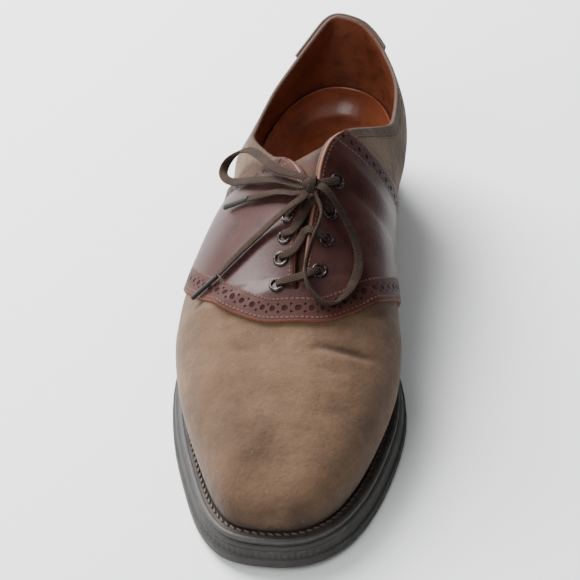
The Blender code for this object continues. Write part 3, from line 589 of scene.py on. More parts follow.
# a dashed thread along a line: one where the stitch is, 0 in the gaps and beside it
def stitch(arc, away, at):
    half, soft = stitchLook["length"] / 2, stitchLook["softEnd"]
    gap = arc.fromPitch(stitchLook["pitch"]).ramp(half - soft, half + soft)
    half, soft = stitchLook["half"], stitchLook["softSide"]
    return (1 - gap) * (1 - (away - at).size().ramp(half - soft, half + soft))


# round holes at a pitch along a line: one inside a hole
def punched(arc, away, at, pitch, radius, shift):
    run = arc.fromPitch(pitch, shift)
    reach = (run * run + (away - at) * (away - at)) ** 0.5
    return 1 - reach.ramp(radius - 0.25, radius + 0.15)


# colours of the brushed leather; the two darkest are painted shade: towards the toe, by the welt and in the
# creases, and along the collar
nubuckLook = {
    "base": (94, 72, 55), "light": (113, 88, 68), "dark": (56, 41, 32), "grey": (76, 63, 55),
    "toe": (40, 28, 20), "border": (60, 42, 29), "thread": (112, 86, 62), "speck": (160, 134, 110),
}

# middles and half sizes of the darker scuffs, in millimetres
nubuckSpots = (
    (30, -130, 7, 3.5), (40, -106, 8, 4), (-14, -108, 16, 12), (13, -108, 9, 5),
    (44, -92, 7, 9), (-26, -132, 9, 6), (20, -146, 16, 3.5), (-4, -90, 14, 7),
)


# brushed leather: clouds, patches and streaks of tone, a fine nap, painted shade towards the toe
# and low down by the welt, a band of painted shade along the collar with stitches on it, and painted shade in
# the crease troughs
def nubuckPaint():
    paint = Paint("tanNubuck", 0.92, Sheen_Weight=0.12, Sheen_Roughness=0.5, Specular_IOR_Level=0.15)
    x, y, z = paint.places()
    cloud = paint.noise(0.045, 4, 0.6)
    patch = paint.noise(0.022, 5, 0.68, shift=0.3)
    nap = paint.noise(0.0016, 3, 0.7)
    speck = 1 - paint.noise(0.0014, 1, 0.4, shift=0.7).ramp(0.73, 0.79)
    streak = paint.noise(0.032, 5, 0.65, stretch=(1, 0.6, 1), shift=0.9)
    colour = paint.mix(cloud.ramp(0.40, 0.62), nubuckLook["base"], nubuckLook["light"])
    colour = paint.mix(patch.ramp(0.46, 0.68) * 0.5, colour, nubuckLook["grey"])
    colour = paint.mix(streak.ramp(0.50, 0.72) * 0.32, colour, nubuckLook["dark"])
    colour = paint.mix((1 - patch.ramp(0.30, 0.48)) * 0.22, colour, nubuckLook["dark"])
    # painted shade: darker towards the toe and low down where the upper meets the welt
    low = 1 - z.ramp(19, 34)
    toe = (1 - y.ramp(-150, -85)) * 0.40 + low * 0.55
    colour = paint.mix((toe * (0.6 + patch * 0.8)).clamped(), colour, nubuckLook["toe"])
    colour = paint.mix((1 - speck) * 0.22, colour, nubuckLook["speck"])
    arc, away = paint.map("top")
    behind = y.ramp(20, 26)  # from the saddle back
    # painted shade: a darker band along the collar for the shade of its rolled top edge; the seams on it are
    # real stitches
    border = (1 - away.ramp(6.6, 7.0)) * behind
    colour = paint.mix(border * 0.75, colour, nubuckLook["border"])
    thread = ((stitch(arc, away, 5.6) + stitch(arc, away, 7.6)) * behind).clamped()
    colour = paint.mix(thread * 0.7, colour, nubuckLook["thread"])
    scratch = paint.noise(0.010, 5, 0.75, stretch=(0.35, 1, 1), shift=0.5).ramp(0.56, 0.66)
    colour = paint.mix(scratch * 0.22, colour, nubuckLook["light"])
    colour = paint.mix(nap.ramp(0.35, 0.65) * 0.16, colour, nubuckLook["dark"])
    wrinkle = paint.noise(0.012, 4, 0.6, stretch=(0.6, 1, 1), shift=0.15)
    for spotX, spotY, wide, high in nubuckSpots:
        across = (x - spotX) / wide
        lengthwise = (y - spotY) / high
        spot = (1 - (across * across + lengthwise * lengthwise) ** 0.5).clamped()
        colour = paint.mix(spot * (0.10 + patch * 0.5), colour, nubuckLook["dark"])
    # painted shade in the troughs of the creases, from their pressed depth
    pressed = paint.map("crease")[0]
    colour = paint.mix((0 - pressed).ramp(0.08, 0.75) * 0.65, colour, nubuckLook["toe"])
    height = nap * 0.16 + paint.noise(0.0045, 3, 0.6) * 0.35 + wrinkle * 0.9 + thread * 0.35 + border * 0.25
    return paint.finishWith(colour, 0.86 + patch * 0.12, paint.bump(height, 1.0 * mm))


# rows of holes: line, distance from it, radius and shift; seams: line and distance; the tone for the holes is
# painted shade inside them
saddleLook = {
    "base": (52, 28, 25), "light": (68, 39, 35), "dark": (30, 15, 13), "red": (66, 34, 28),
    "edge": (100, 54, 34), "holeShade": (38, 15, 11), "thread": (98, 70, 56), "pitch": 6.2,
    "holes": (
        ("front", 6.6, 1.35, 0.0), ("front", 8.5, 0.55, 3.1), ("front", 4.7, 0.55, 3.1),
        ("rear", 6.0, 1.3, 0.0), ("rear", 7.9, 0.5, 3.1), ("rear", 4.1, 0.5, 3.1),
    ),
    "seams": (("front", 2.0), ("front", 11.2), ("rear", 1.7), ("rear", 9.8), ("throat", 2.4)),
}


# smooth leather: two clouds of tone and a fine grain, bands along the front and the rear
# edge with punched holes and seams, painted shade inside the holes, and worn edges
def saddlePaint():
    paint = Paint("brownLeather", 0.4, Coat_Roughness=0.22, Specular_IOR_Level=0.16)
    cloud = paint.noise(0.030, 4, 0.6, stretch=(1, 0.7, 1))
    patch = paint.noise(0.009, 4, 0.65, shift=0.2)
    grain = paint.cells(0.0011)
    fine = paint.noise(0.0007, 2, 0.5)
    colour = paint.mix(cloud.ramp(0.30, 0.70), saddleLook["base"], saddleLook["light"])
    colour = paint.mix((1 - patch.ramp(0.30, 0.50)) * 0.5, colour, saddleLook["dark"])
    lines = {name: paint.map(name) for name in ("front", "rear", "throat")}
    front, rear, throat = (away for arc, away in lines.values())
    band = ((1 - front.ramp(11.2, 11.8)) + (1 - rear.ramp(9.8, 10.4))).clamped()
    colour = paint.mix(band * 0.30, colour, saddleLook["red"])
    holes = sum(
        punched(*lines[name], at, saddleLook["pitch"], radius, shift)
        for name, at, radius, shift in saddleLook["holes"]
    ).clamped()
    thread = sum(stitch(*lines[name], at) for name, at in saddleLook["seams"]).clamped()
    # painted shade: the punched holes painted dark inside
    colour = paint.mix(holes, colour, saddleLook["holeShade"])
    colour = paint.mix(thread * 0.75 * (1 - holes), colour, saddleLook["thread"])
    worn = (1 - front.ramp(0.1, 1.1)) + (1 - throat.ramp(0.1, 0.7)) + (1 - rear.ramp(0.1, 0.8))
    colour = paint.mix(worn.clamped() * 0.7, colour, saddleLook["edge"])
    height = grain * 0.05 + fine * 0.03 + patch * 0.10 - holes * 1.1 + thread * 0.35 - band * 0.05
    rough = 0.34 + cloud * 0.16 + fine * 0.10 + band * 0.12 + holes * 0.3
    coat = (0.13 - band * 0.1 - patch * 0.05).clamped()
    return paint.finishWith(colour, rough, paint.bump(height, 1.0 * mm), coat)


# cut edges, sewing thread and lace tips: two tones, the size of their blend, the
# roughness, whether they are coarse, and the shader's fixed values
plainLook = {
    "rawEdge": ((88, 48, 30), (132, 80, 50), 0.003, 0.75, True, {}),
    "collarEdge": ((48, 32, 23), (80, 56, 41), 0.003, 0.80, True, {}),
    "waxedThread": ((40, 32, 27), (84, 70, 60), 0.004, 0.60, False, {}),
    "laceTip": ((20, 17, 15), (38, 33, 30), 0.003, 0.55, False, {"Specular_IOR_Level": 0.2}),
}


# one of the plain finishes: its two tones blended by a noise, coarse ones with a fine bump
def plainPaint(name):
    dark, light, size, roughness, coarse, fixed = plainLook[name]
    paint = Paint(name, roughness, **fixed)
    colour = paint.mix(paint.noise(size, 3, 0.6), dark, light)
    normal = paint.bump(paint.noise(0.0012, 3, 0.6), 0.3 * mm) if coarse else None
    return paint.finishWith(colour, None, normal)


# tones of the lining; the dark one serves both the worn spots and painted shade down in the front
liningLook = {"base": (104, 54, 34), "light": (130, 74, 50), "dark": (60, 28, 18)}


# lining leather: clouds of tone, worn spots, and painted shade down in the front of the shoe
def liningPaint():
    paint = Paint("russetLining", 0.34, Coat_Roughness=0.3)
    along = paint.places()[1]
    cloud = paint.noise(0.022, 4, 0.6)
    wear = paint.noise(0.006, 4, 0.6, shift=0.4)
    colour = paint.mix(cloud.ramp(0.3, 0.7), liningLook["base"], liningLook["light"])
    colour = paint.mix((1 - wear.ramp(0.32, 0.52)) * 0.5, colour, liningLook["dark"])
    # painted shade: darker towards the front, deep inside the shoe
    colour = paint.mix((1 - along.ramp(10, 75)) * 0.75, colour, liningLook["dark"])
    height = paint.cells(0.0013) * 0.04 + wear * 0.25
    return paint.finishWith(colour, 0.30 + wear * 0.22, paint.bump(height, 1.0 * mm), 0.25 + cloud * 0.1)


rubberLook = {"base": (37, 35, 33), "light": (53, 50, 48), "dark": (22, 21, 20), "scuff": (104, 94, 84)}


# dull rubber: clouds of tone and rubbed spots, scuffed lighter round the toe
def rubberPaint():
    paint = Paint("darkRubber", 0.62, Specular_IOR_Level=0.4)
    along = paint.places()[1]
    cloud = paint.noise(0.012, 4, 0.6)
    rub = paint.noise(0.004, 4, 0.7, stretch=(1, 1, 2.5))
    colour = paint.mix(cloud.ramp(0.3, 0.7), rubberLook["base"], rubberLook["light"])
    colour = paint.mix((1 - rub.ramp(0.3, 0.5)) * 0.5, colour, rubberLook["dark"])
    scuffed = rub.ramp(0.60, 0.74) * (1 - along.ramp(-140, -90)) * 0.75
    colour = paint.mix(scuffed, colour, rubberLook["scuff"])
    height = rub * 0.15 + paint.noise(0.0008, 2, 0.6) * 0.06
    return paint.finishWith(colour, 0.52 + rub * 0.28, paint.bump(height, 1.0 * mm))


weltLook = {"dark": (34, 26, 22), "light": (60, 47, 39), "rimDark": (34, 32, 30), "rimLight": (56, 53, 50)}


# leather strip that turns to rubber tones at its outer rim, with a groove between them
def weltPaint():
    paint = Paint("brownWelt", 0.55, Coat_Roughness=0.35)
    patch = paint.noise(0.007, 4, 0.6)
    tone = patch.ramp(0.3, 0.7)
    share = paint.map("across")[0]
    inner = paint.mix(tone, weltLook["dark"], weltLook["light"])
    outer = paint.mix(tone, weltLook["rimDark"], weltLook["rimLight"])
    colour = paint.mix(1 - share.ramp(0.42, 0.50), inner, outer)
    lip = 1 - (share - 0.46).size().ramp(0.02, 0.06)
    height = paint.noise(0.0016, 3, 0.6) * 0.2 + patch * 0.2 - lip * 0.5
    return paint.finishWith(colour, 0.5 + patch * 0.2, paint.bump(height, 1.0 * mm))


# braid: strand pitch and slant, and its tones; the dark tone is painted shade in the hollows of the weave
braidLook = {"strand": 1.5, "slant": 1.1, "dark": (22, 16, 13), "light": (76, 61, 52), "faded": (92, 76, 66)}


# flat braid: two sets of slanted strands, each a crest along its own diagonal, with painted shade in the
# hollows between the crests
def lacePaint():
    paint = Paint("braidedLace", 0.88, Specular_IOR_Level=0.12)
    arc, across = paint.map("braid")
    turns, slant = 2 * np.pi / braidLook["strand"], across * braidLook["slant"]
    weave = paint.math("SINE", (arc + slant) * turns) * paint.math("SINE", (arc - slant) * turns)
    shade = weave.ramp(-0.8, 0.8)
    fuzz = paint.noise(0.0009, 3, 0.7)
    tone = paint.noise(0.012, 3, 0.6)
    # painted shade of the weave: dark in the hollows between the strands, lighter on their crests
    colour = paint.mix(shade, braidLook["dark"], braidLook["light"])
    colour = paint.mix(tone.ramp(0.45, 0.7) * 0.3, colour, braidLook["faded"])
    return paint.finishWith(colour, 0.9, paint.bump(shade * 0.45 + fuzz * 0.15, 1.0 * mm))


metalLook = {"dark": (36, 31, 29), "worn": (128, 118, 110)}


# blackened metal, worn bright in spots
def eyeletPaint():
    paint = Paint("darkEyelet", 0.3, Metallic=0.7)
    wear = paint.noise(0.0012, 3, 0.7)
    colour = paint.mix(wear.ramp(0.50, 0.72), metalLook["dark"], metalLook["worn"])
    return paint.finishWith(colour, 0.22 + wear * 0.25, paint.bump(wear, 0.15 * mm))


nubuck = nubuckPaint()
brown = saddlePaint()
rawEdge, collarEdge, waxed, tip = (plainPaint(name) for name in plainLook)
lining = liningPaint()
rubber = rubberPaint()
weltLeather = weltPaint()
braid = lacePaint()
metal = eyeletPaint()
hollow = Paint("shadowInBore", 0.9).finishWith((16, 12, 11))
print("finishes made")

# the photograph's view: where it was taken from, its angles and its field
view = {
    "from": (121.7 * mm, -793.6 * mm, 757.6 * mm),
    "azimuth": -4.965, "elevation": 42.218, "roll": 0.449,
    "centreAcross": -5.1 * mm, "centreAlong": -1.0 * mm, "centreUp": 34.8 * mm,
    "lens": 136.6, "sensor": 36.0,
}


# turns the camera about its own place so that the shoe's middle is in the middle,
# keeping the photograph's own up direction
def makeCamera():
    azimuth, elevation, roll = (np.radians(view[name]) for name in ("azimuth", "elevation", "roll"))
    ahead = np.array([
        np.sin(azimuth) * np.cos(elevation), np.cos(azimuth) * np.cos(elevation), -np.sin(elevation)
    ])
    level = np.cross(ahead, [0, 0, 1])
    level /= np.linalg.norm(level)
    rise = np.cross(level, ahead)
    up = -level * np.sin(roll) + rise * np.cos(roll)
    place = np.array(view["from"])
    aim = np.array([view["centreAcross"], view["centreAlong"], view["centreUp"]]) - place
    aim /= np.linalg.norm(aim)
    right = np.cross(aim, up)
    right /= np.linalg.norm(right)
    top = np.cross(right, aim)
    camera = bpy.data.objects.new("photoCamera", bpy.data.cameras.new("photoCamera"))
    bpy.context.scene.collection.objects.link(camera)
    camera.matrix_world = Matrix((
        (right[0], top[0], -aim[0], place[0]), (right[1], top[1], -aim[1], place[1]),
        (right[2], top[2], -aim[2], place[2]), (0, 0, 0, 1),
    ))
    camera.data.lens = view["lens"]
    camera.data.sensor_width = view["sensor"]
    camera.data.clip_end = 20
    bpy.context.scene.camera = camera


makeCamera()

# laces: routes in shares of the ball width, the length and the instep height, each from
# the knot outwards, and beside them the turn of the flat side in degrees
laceForm = {
    "width": 4.6 * mm, "thick": 1.5 * mm, "around": 12, "step": 0.8 * mm, "clear": 0.4 * mm,
    "coreAcross": 4 * mm, "coreHeight": 35 * mm,  # line inside the instep that the flat side faces away from
}
routeSizes = np.array([shoe["ballWidth"], shoe["length"], shoe["instepHeight"]])
knotPlace = np.array([0.067, -0.016, 1.031]) * routeSizes
loopLateral = (
    (0.021, -0.006, 1.048, 10),
    (-0.048, 0.009, 1.029, 5),
    (-0.129, 0.049, 0.976, 0),
    (-0.213, 0.11, 0.888, 0),
    (-0.289, 0.154, 0.796, 20),
    (-0.355, 0.17, 0.704, 60),
    (-0.384, 0.163, 0.649, 100),
    (-0.371, 0.143, 0.647, 140),
    (-0.316, 0.11, 0.705, 175),
    (-0.23, 0.069, 0.82, 185),
    (-0.159, 0.044, 0.891, 185),
    (-0.069, 0.013, 0.969, 180),
    (0.02, -0.016, 1.016, 175),
)
loopMedial = (
    (0.122, -0.027, 1.039, 0),
    (0.164, -0.032, 0.985, 0),
    (0.211, -0.04, 0.889, 0),
    (0.25, -0.056, 0.821, 0),
    (0.276, -0.079, 0.771, 10),
    (0.277, -0.106, 0.75, 25),
    (0.259, -0.136, 0.736, 40),
    (0.224, -0.157, 0.718, 55),
    (0.188, -0.168, 0.716, 65),
    (0.148, -0.168, 0.731, 72),
    (0.105, -0.158, 0.765, 78),
    (0.081, -0.145, 0.812, 82),
    (0.079, -0.13, 0.85, 82),
    (0.09, -0.107, 0.892, 82),
    (0.109, -0.084, 0.933, 82),
    (0.12, -0.058, 0.966, 82),
    (0.098, -0.038, 0.996, 82),
)
endShort = (
    (0.007, -0.025, 0.996, 0),
    (-0.059, -0.005, 0.948, 0),
    (-0.14, 0.014, 0.878, 0),
    (-0.214, 0.027, 0.816, 0),
)
tipShort = (
    (-0.219, 0.028, 0.812, 0),
    (-0.33, 0.049, 0.697, 0),
)
endLong = (
    (0.034, -0.037, 1, 0),
    (-0.022, -0.042, 0.947, 0),
    (-0.111, -0.051, 0.845, 0),
    (-0.209, -0.075, 0.753, 0),
    (-0.296, -0.102, 0.674, 0),
)
tipLong = (
    (-0.301, -0.104, 0.668, 0),
    (-0.401, -0.124, 0.573, 0),
)


# smooth curve through points, at places counted in points
def curveThrough(points, at):
    place = np.arange(float(len(points)))
    return np.stack([spline(place, np.array(points)[:, i], at) for i in range(3)], -1)


# a route's curve sampled at an even step, with the twist beside it, and its length;
# the ends named in knotEnds are carried on into the knot
def laceLine(table, step, knotEnds=()):
    points = np.array([row[:3] for row in table], float) * routeSizes
    twist = np.array([row[3] for row in table], float)
    for end in knotEnds:
        inner = knotPlace + (points[end] - knotPlace) * 0.35
        points = np.insert(points, end if end == 0 else len(points), inner, axis=0)
        twist = np.insert(twist, end if end == 0 else len(twist), twist[end])
    fine = np.linspace(0, len(points) - 1.0, 40 * len(points))
    line = curveThrough(points, fine)
    arc = lengthAlong(line)
    at = np.linspace(0, arc[-1], max(int(round(arc[-1] / step)), 2) + 1)
    twist = np.interp(at, arc, np.interp(fine, np.arange(len(points)), twist))
    return pointsAt(at, arc, line), twist, arc[-1]


# a rounded flat section carried along a line: the section is a flattened circle
# squared off at its sides, its flat side turned to faceOut
def sweep(name, line, faceOut, widths, thick, finish, around=laceForm["around"]):
    run = unit(np.gradient(line, axis=0))
    side = unit(np.cross(run, faceOut))
    face = np.cross(side, run)
    angle = np.arange(around) * 2 * np.pi / around
    wide = np.sign(np.cos(angle)) * np.abs(np.cos(angle)) ** 0.7
    tall = np.sign(np.sin(angle)) * np.abs(np.sin(angle)) ** 0.8
    widths = np.broadcast_to(widths, len(line))[:, None]
    offset = (
        side[:, None] * (wide * widths / 2)[..., None] + face[:, None] * (tall * thick / 2)[None, :, None]
    )
    rings = line[:, None] + offset
    first, last = (np.broadcast_to(rings[i].mean(0), (1, around, 3)) for i in (0, -1))
    rings = np.concatenate([first, rings, last])
    arc = lengthAlong(line) / mm
    arc = np.concatenate([arc[:1], arc, arc[-1:]])
    maps = {"braid": np.stack(np.broadcast_arrays(arc[:, None], wide * widths.mean() / 2 / mm), -1)}
    faces = gridFaces(len(rings), around, wrap=True)
    return makePiece(name, rings, faces, [finish], maps, weld=0.001 * mm)


# out of the middle of the instep, turned about the line by the twist
def flatSide(line, twist):
    run = unit(np.gradient(line, axis=0))
    out = line.copy()
    out[:, 0] -= laceForm["coreAcross"]
    out[:, 1] = 0
    out[:, 2] -= laceForm["coreHeight"]
    out = unit(out - run * (out * run).sum(1)[:, None])
    turned = np.radians(twist)[:, None]
    return out * np.cos(turned) + np.cross(run, out) * np.sin(turned)


# a loop or an end of the bow: a flat braid carried along its route
def makeLace(name, table, node, far):
    line, twist, length = laceLine(table, laceForm["step"], (0, -1) if far == "object" else (0,))
    piece = sweep(
        name, line, flatSide(line, twist), laceForm["width"], laceForm["thick"], braid
    )
    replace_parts(piece, node)


tipForm = {"width": 2.9 * mm, "thick": 2.0 * mm, "step": 0.6 * mm, "around": 16}


# a stiff tip: a narrow, nearly round section along a straight route
def makeTip(name, table, node):
    line, twist = laceLine(table, tipForm["step"])[:2]
    piece = sweep(
        name, line, flatSide(line, twist), tipForm["width"], tipForm["thick"], tip,
        around=tipForm["around"],
    )
    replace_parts(piece, node)
    return piece


# the knot's half sizes across, along and up, its wobble, and the wrap over its middle
knotForm = {
    "half": (4.6 * mm, 3.9 * mm, 3.0 * mm), "rows": 24, "around": 32, "wobble": 0.06,
    "wrapHalf": (0.7 * mm, 4.3 * mm, 3.5 * mm), "wrapWidth": 3.8 * mm, "wrapThick": 1.2 * mm,
}


# the knot: an egg of braid, its radius wavy round it, with one wrap over its middle
def makeKnot():
    rows, around = knotForm["rows"], knotForm["around"]
    up = np.linspace(0, np.pi, rows)[:, None]
    turn = np.arange(around)[None, :] * 2 * np.pi / around
    ring = np.sin(up) * (1 + knotForm["wobble"] * np.cos(3 * turn) * np.sin(up))
    points = np.broadcast_arrays(np.cos(up), ring * np.cos(turn), ring * np.sin(turn))
    points = np.stack(points, -1) * knotForm["half"] + knotPlace
    maps = {"braid": np.stack(np.broadcast_arrays(up * 5, turn * 4), -1)}
    core = makePiece("laceKnot", points, gridFaces(rows, around, wrap=True), [braid], maps)
    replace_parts(core, "lace_knot")
    angle = np.linspace(0, 2 * np.pi, 61)
    out = np.stack([np.sin(angle), np.cos(angle), np.sin(angle)], -1) * knotForm["wrapHalf"]
    wrap = sweep(
        "laceKnotWrap", knotPlace + out, out, knotForm["wrapWidth"], knotForm["wrapThick"], braid
    )
    return [core, wrap]


knotPieces = makeKnot()
shortTip = makeTip("aglet_short_end", tipShort, "aglet_short")
longTip = makeTip("aglet_long_end", tipLong, "aglet_long")
makeLace("laceLoopLateral", loopLateral, "lace_loop_lateral", "object")
makeLace("laceLoopMedial", loopMedial, "lace_loop_medial", "object")
makeLace("laceEndShort", endShort, "lace_end_short", "fitting")
makeLace("laceEndLong", endLong, "lace_end_long", "fitting")
print("camera and laces made")

# eyelets: place along the shoe, and how far in from the facing, as a share of the inset
eyeletColumns = ("lateral", "lateralIn", "medial", "medialIn")
eyeletTable = (
    (-0.137, 1.06, -0.118, 0.90),
    (-0.091, 0.80, -0.066, 1.05),
    (-0.057, 0.70, -0.020, 1.00),
    (-0.024, 0.70, 0.037, 1.22),
)
eyelet = {
    "inset": 8.5 * mm, "bore": 2.3 * mm, "flange": 3.9 * mm, "barrel": 2.8 * mm,
    "proud": 1.0 * mm, "deep": 2.5 * mm, "around": 28,
}
saddleForm = {"lift": 0.1 * mm, "thick": 1.7 * mm}


# row number and height on the profile of an eyelet: measured along the profile
# from the facing's edge
def eyeletPlace(side, row):
    turn = turnAt(column(eyeletTable, eyeletColumns, sideName[side])[row])
    ups = np.linspace(0.5, 1, 200)
    arc = lengthAlong(upperPoint(side, turn, ups))
    left = arc[-1] - eyelet["inset"] * column(eyeletTable, eyeletColumns, sideName[side] + "In")[row]
    return turn, np.interp(left, arc, ups)


# an eyelet's middle on the saddle's outer face, and the way straight out of it
def eyeletFrame(side, row):
    turn, up = eyeletPlace(side, row)
    lift = saddleForm["lift"] + saddleForm["thick"]
    return upperOffset(side, turn, up, lift), upperNormal(side, turn, up)


# rings of a profile turned about an axis: distances from the axis and heights along it
def turnedRings(profile, centre, normal):
    across = unit(np.cross(normal, [0.0, 1.0, 0.0]))
    other = np.cross(normal, across)
    angle = np.arange(eyelet["around"])[:, None] * 2 * np.pi / eyelet["around"]
    ray = across * np.cos(angle) + other * np.sin(angle)
    profile = np.array(profile)[:, None]
    return centre + profile[..., :1] * ray + profile[..., 1:] * normal


# a rolled ring on the leather, and a dark plug in its bore
def makeEyelet(side, row):
    centre, normal = eyeletFrame(side, row)
    bore, flange, barrel, proud = (eyelet[name] for name in ("bore", "flange", "barrel", "proud"))
    rolled = [
        (bore, -eyelet["deep"]), (bore, 0.35 * proud), (bore + 0.10 * mm, 0.70 * proud),
        (bore + 0.35 * mm, 0.93 * proud), ((bore + flange) / 2, 1.02 * proud),
        (flange - 0.35 * mm, 0.86 * proud), (flange - 0.08 * mm, 0.5 * proud), (flange, 0.1 * proud),
        (flange - 0.05 * mm, -0.25 * mm), (barrel, -0.3 * mm), (barrel, -eyelet["deep"]),
        (bore, -eyelet["deep"]),
    ]
    top, low, wide = -0.9 * mm, -1.8 * mm, 0.99 * bore
    plug = [(0, top), (wide, top), (wide, low), (0, low)]
    label = f"{sideName[side].title()}{row + 1}"
    for name, profile, finish in (("eyelet", rolled, metal), ("eyeletShade", plug, hollow)):
        rings = turnedRings(profile, centre, normal)
        faces = gridFaces(*rings.shape[:2], wrap=True)
        piece = makePiece(name + label, rings, faces, [finish], {})
        if name == "eyelet":
            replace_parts(piece, f"eyelet_{sideName[side]}_{row + 1}")


# the facing's edge beside an eyelet, or further along it, just clear of the leather
def facingEdge(side, row, further=0.0):
    turn = turnAt(column(eyeletTable, eyeletColumns, sideName[side])[row] + further)
    lift = saddleForm["lift"] + saddleForm["thick"] + laceForm["clear"] + laceForm["thick"] / 2
    return upperOffset(side, turn, 1.0, lift)


# out of the bore, over the flange and towards the target
def laceFrom(side, row, target):
    centre, normal = eyeletFrame(side, row)
    rise = eyelet["proud"] + laceForm["thick"] / 2
    inward = target - centre
    inward = unit(inward - normal * (inward @ normal))
    return [
        centre - normal * 1.6 * mm,  # down in the bore
        centre + normal * 0.5 * mm + inward * 0.3 * mm,  # at its rim
        centre + normal * rise + inward * eyelet["bore"] * 1.1,  # on the flange
    ], inward, normal


# points joined by a smooth curve; the lace widens as it leaves a bore, at its start or
# at both its ends
def makeStrap(name, points, normals, bores=1):
    fine = np.linspace(0, len(points) - 1.0, 60)
    line = curveThrough(points, fine)
    face = pointsAt(fine, np.arange(len(points)), np.array(normals))
    arc = lengthAlong(line)
    rest = np.minimum(arc, arc[-1] - arc if bores == 2 else arc[-1])
    width = laceForm["width"] * np.interp(rest, (0, 1.5 * mm, 6.5 * mm), (0.66, 0.70, 0.92))
    return sweep(name, line, face, width, 0.9 * laceForm["thick"], braid)


# where the crossings run: the facing's edge and the dip between the facings, further up
# the throat by shares of the length, how low the dip is, and which way the lace faces there
crossing = {
    "edge": 0.012, "dip": 0.030, "low": 2.0 * mm, "under": 1.2 * mm, "up": np.array([0.0, -0.4, 0.92]),
}


# both laces of a row climb over the facings' edges and go down between them, each
# aimed a little further up the throat; the medial one passes under the lateral one
def makeCrossing(name, row, node):
    for side in (-1, 1):
        edge = facingEdge(side, row, crossing["edge"])
        low = crossing["low"] + (crossing["under"] if side > 0 else 0)
        dip = facingEdge(-side, row, crossing["dip"]) * 0.6 + facingEdge(side, row, crossing["dip"]) * 0.4
        start, inward, normal = laceFrom(side, row, edge)
        normals = [inward, normal + inward, normal, (normal + crossing["up"]) / 2, crossing["up"]]
        piece = makeStrap(name + sideName[side].title(), start + [edge, dip - [0, 0, low]], normals)
        if side < 0:
            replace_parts(piece, node)


# the laces of the top row run straight into the knot
def makeTop():
    for side in (-1, 1):
        start, inward, normal = laceFrom(side, 3, knotPlace)
        end = knotPlace - [0, 0, 0.8 * mm]  # a little under the knot's middle
        normals = [inward, normal + inward, normal, np.array([0.0, -0.3, 0.95])]
        piece = makeStrap("laceTop" + sideName[side].title(), start + [end], normals)
        if side < 0:
            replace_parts(piece, "lace_top")


# the lowest row: one bar from bore to bore, over the middle of the throat
def makeBar():
    middle = (facingEdge(-1, 0, 0.004) + facingEdge(1, 0, -0.004)) / 2 + [0, 0, 0.3 * mm]
    left, leftIn, leftNormal = laceFrom(-1, 0, middle)
    right, rightIn, rightNormal = laceFrom(1, 0, middle)
    points = left + [middle] + right[::-1]
    normals = [leftIn, leftNormal + leftIn, leftNormal, leftNormal + rightNormal]
    normals += [rightNormal, rightNormal + rightIn, rightIn]
    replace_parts(makeStrap("laceBar", points, normals, 2), "lace_bar")


for row in range(len(eyeletTable)):
    makeEyelet(-1, row)
    makeEyelet(1, row)
makeBar()
makeCrossing("laceCrossTwo", 1, "lace_cross_2")
makeCrossing("laceCrossThree", 2, "lace_cross_3")
makeTop()
print("eyelets and crossings made")

# the upper: stations round the shoe, heights on the profile, and the gap closed over the ridge
upperForm = {"stations": 350, "ups": 60, "join": 0.25 * mm}


# lateral and medial grids of one sheet; where they meet over the ridge they share points
def sideGrids(turns, ups, height, creased=True):
    grids = []
    for side in (-1, 1):
        turn = turns if isinstance(turns, np.ndarray) else turns[0 if side < 0 else 1]
        grids.append(upperOffset(side, turn, ups, height, creased))
    near = np.linalg.norm(grids[0] - grids[1], axis=-1) < upperForm["join"]
    middle = (grids[0] + grids[1]) / 2
    for grid in grids:
        grid[near] = middle[near]
    return grids


# both sides of a sheet as one mesh; the medial side's quads run the other way round
def sheetOf(name, grids, finishes, maps):
    rows, columns = grids[0].shape[:2]
    faces = np.concatenate([gridFaces(rows, columns), gridFaces(rows, columns, flip=True) + rows * columns])
    return makePiece(name, np.stack(grids), faces, finishes, maps, weld=0.03 * mm, closed=False)


# length along the top edge, and along the profile down from it, in millimetres
def fromTop(grid):
    steps = np.linalg.norm(np.diff(grid, axis=1), axis=2)
    down = np.concatenate([np.zeros((len(grid), 1)), np.cumsum(steps[:, ::-1], axis=1)], axis=1)[:, ::-1]
    edge = lengthAlong(grid[:, -1])
    return np.stack([np.broadcast_to(edge[:, None], down.shape), down], -1) / mm


# the upper's outside over all stations and heights, and its wall inwards
def makeUpper():
    turns = stations(upperForm["stations"])[:, None]
    ups = np.linspace(0, 1, upperForm["ups"])[None, :]
    turns, ups = np.broadcast_arrays(turns, ups)
    grids = sideGrids(turns, ups, 0.0)
    pressed = np.stack([creaseHeight(upperPoint(side, turns, ups)) for side in (-1, 1)]) / mm
    maps = {
        "top": np.stack([fromTop(grid) for grid in grids]),
        "crease": np.stack([pressed, np.zeros_like(pressed)], -1),
    }
    piece = sheetOf("upperShell", grids, [nubuck, lining, collarEdge], maps)
    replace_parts(thicken(piece, shoe["wall"], -1, inner=1, rim=2), "upper")


makeUpper()
print("upper made")

# the saddle and the heel stay: points from edge to edge, and from the foot to the top
overlayForm = {"shares": 150, "ups": 72}


# the station of an overlay's edge at each height
def edgeAt(table, names, name, up):
    return monotone(column(table, names, "up"), column(table, names, name), up)


# a sheet over the upper from a front edge to a rear edge, both given by height
def overlayGrids(fronts, rears, height):
    ups = np.linspace(0.004, 1, overlayForm["ups"])
    shares = np.linspace(0, 1, overlayForm["shares"])[:, None]
    turns = [turnAt(front(ups)) + (turnAt(rear(ups)) - turnAt(front(ups))) * shares
             for front, rear in zip(fronts, rears)]
    return sideGrids(turns, np.broadcast_to(ups[None, :], turns[0].shape), height)


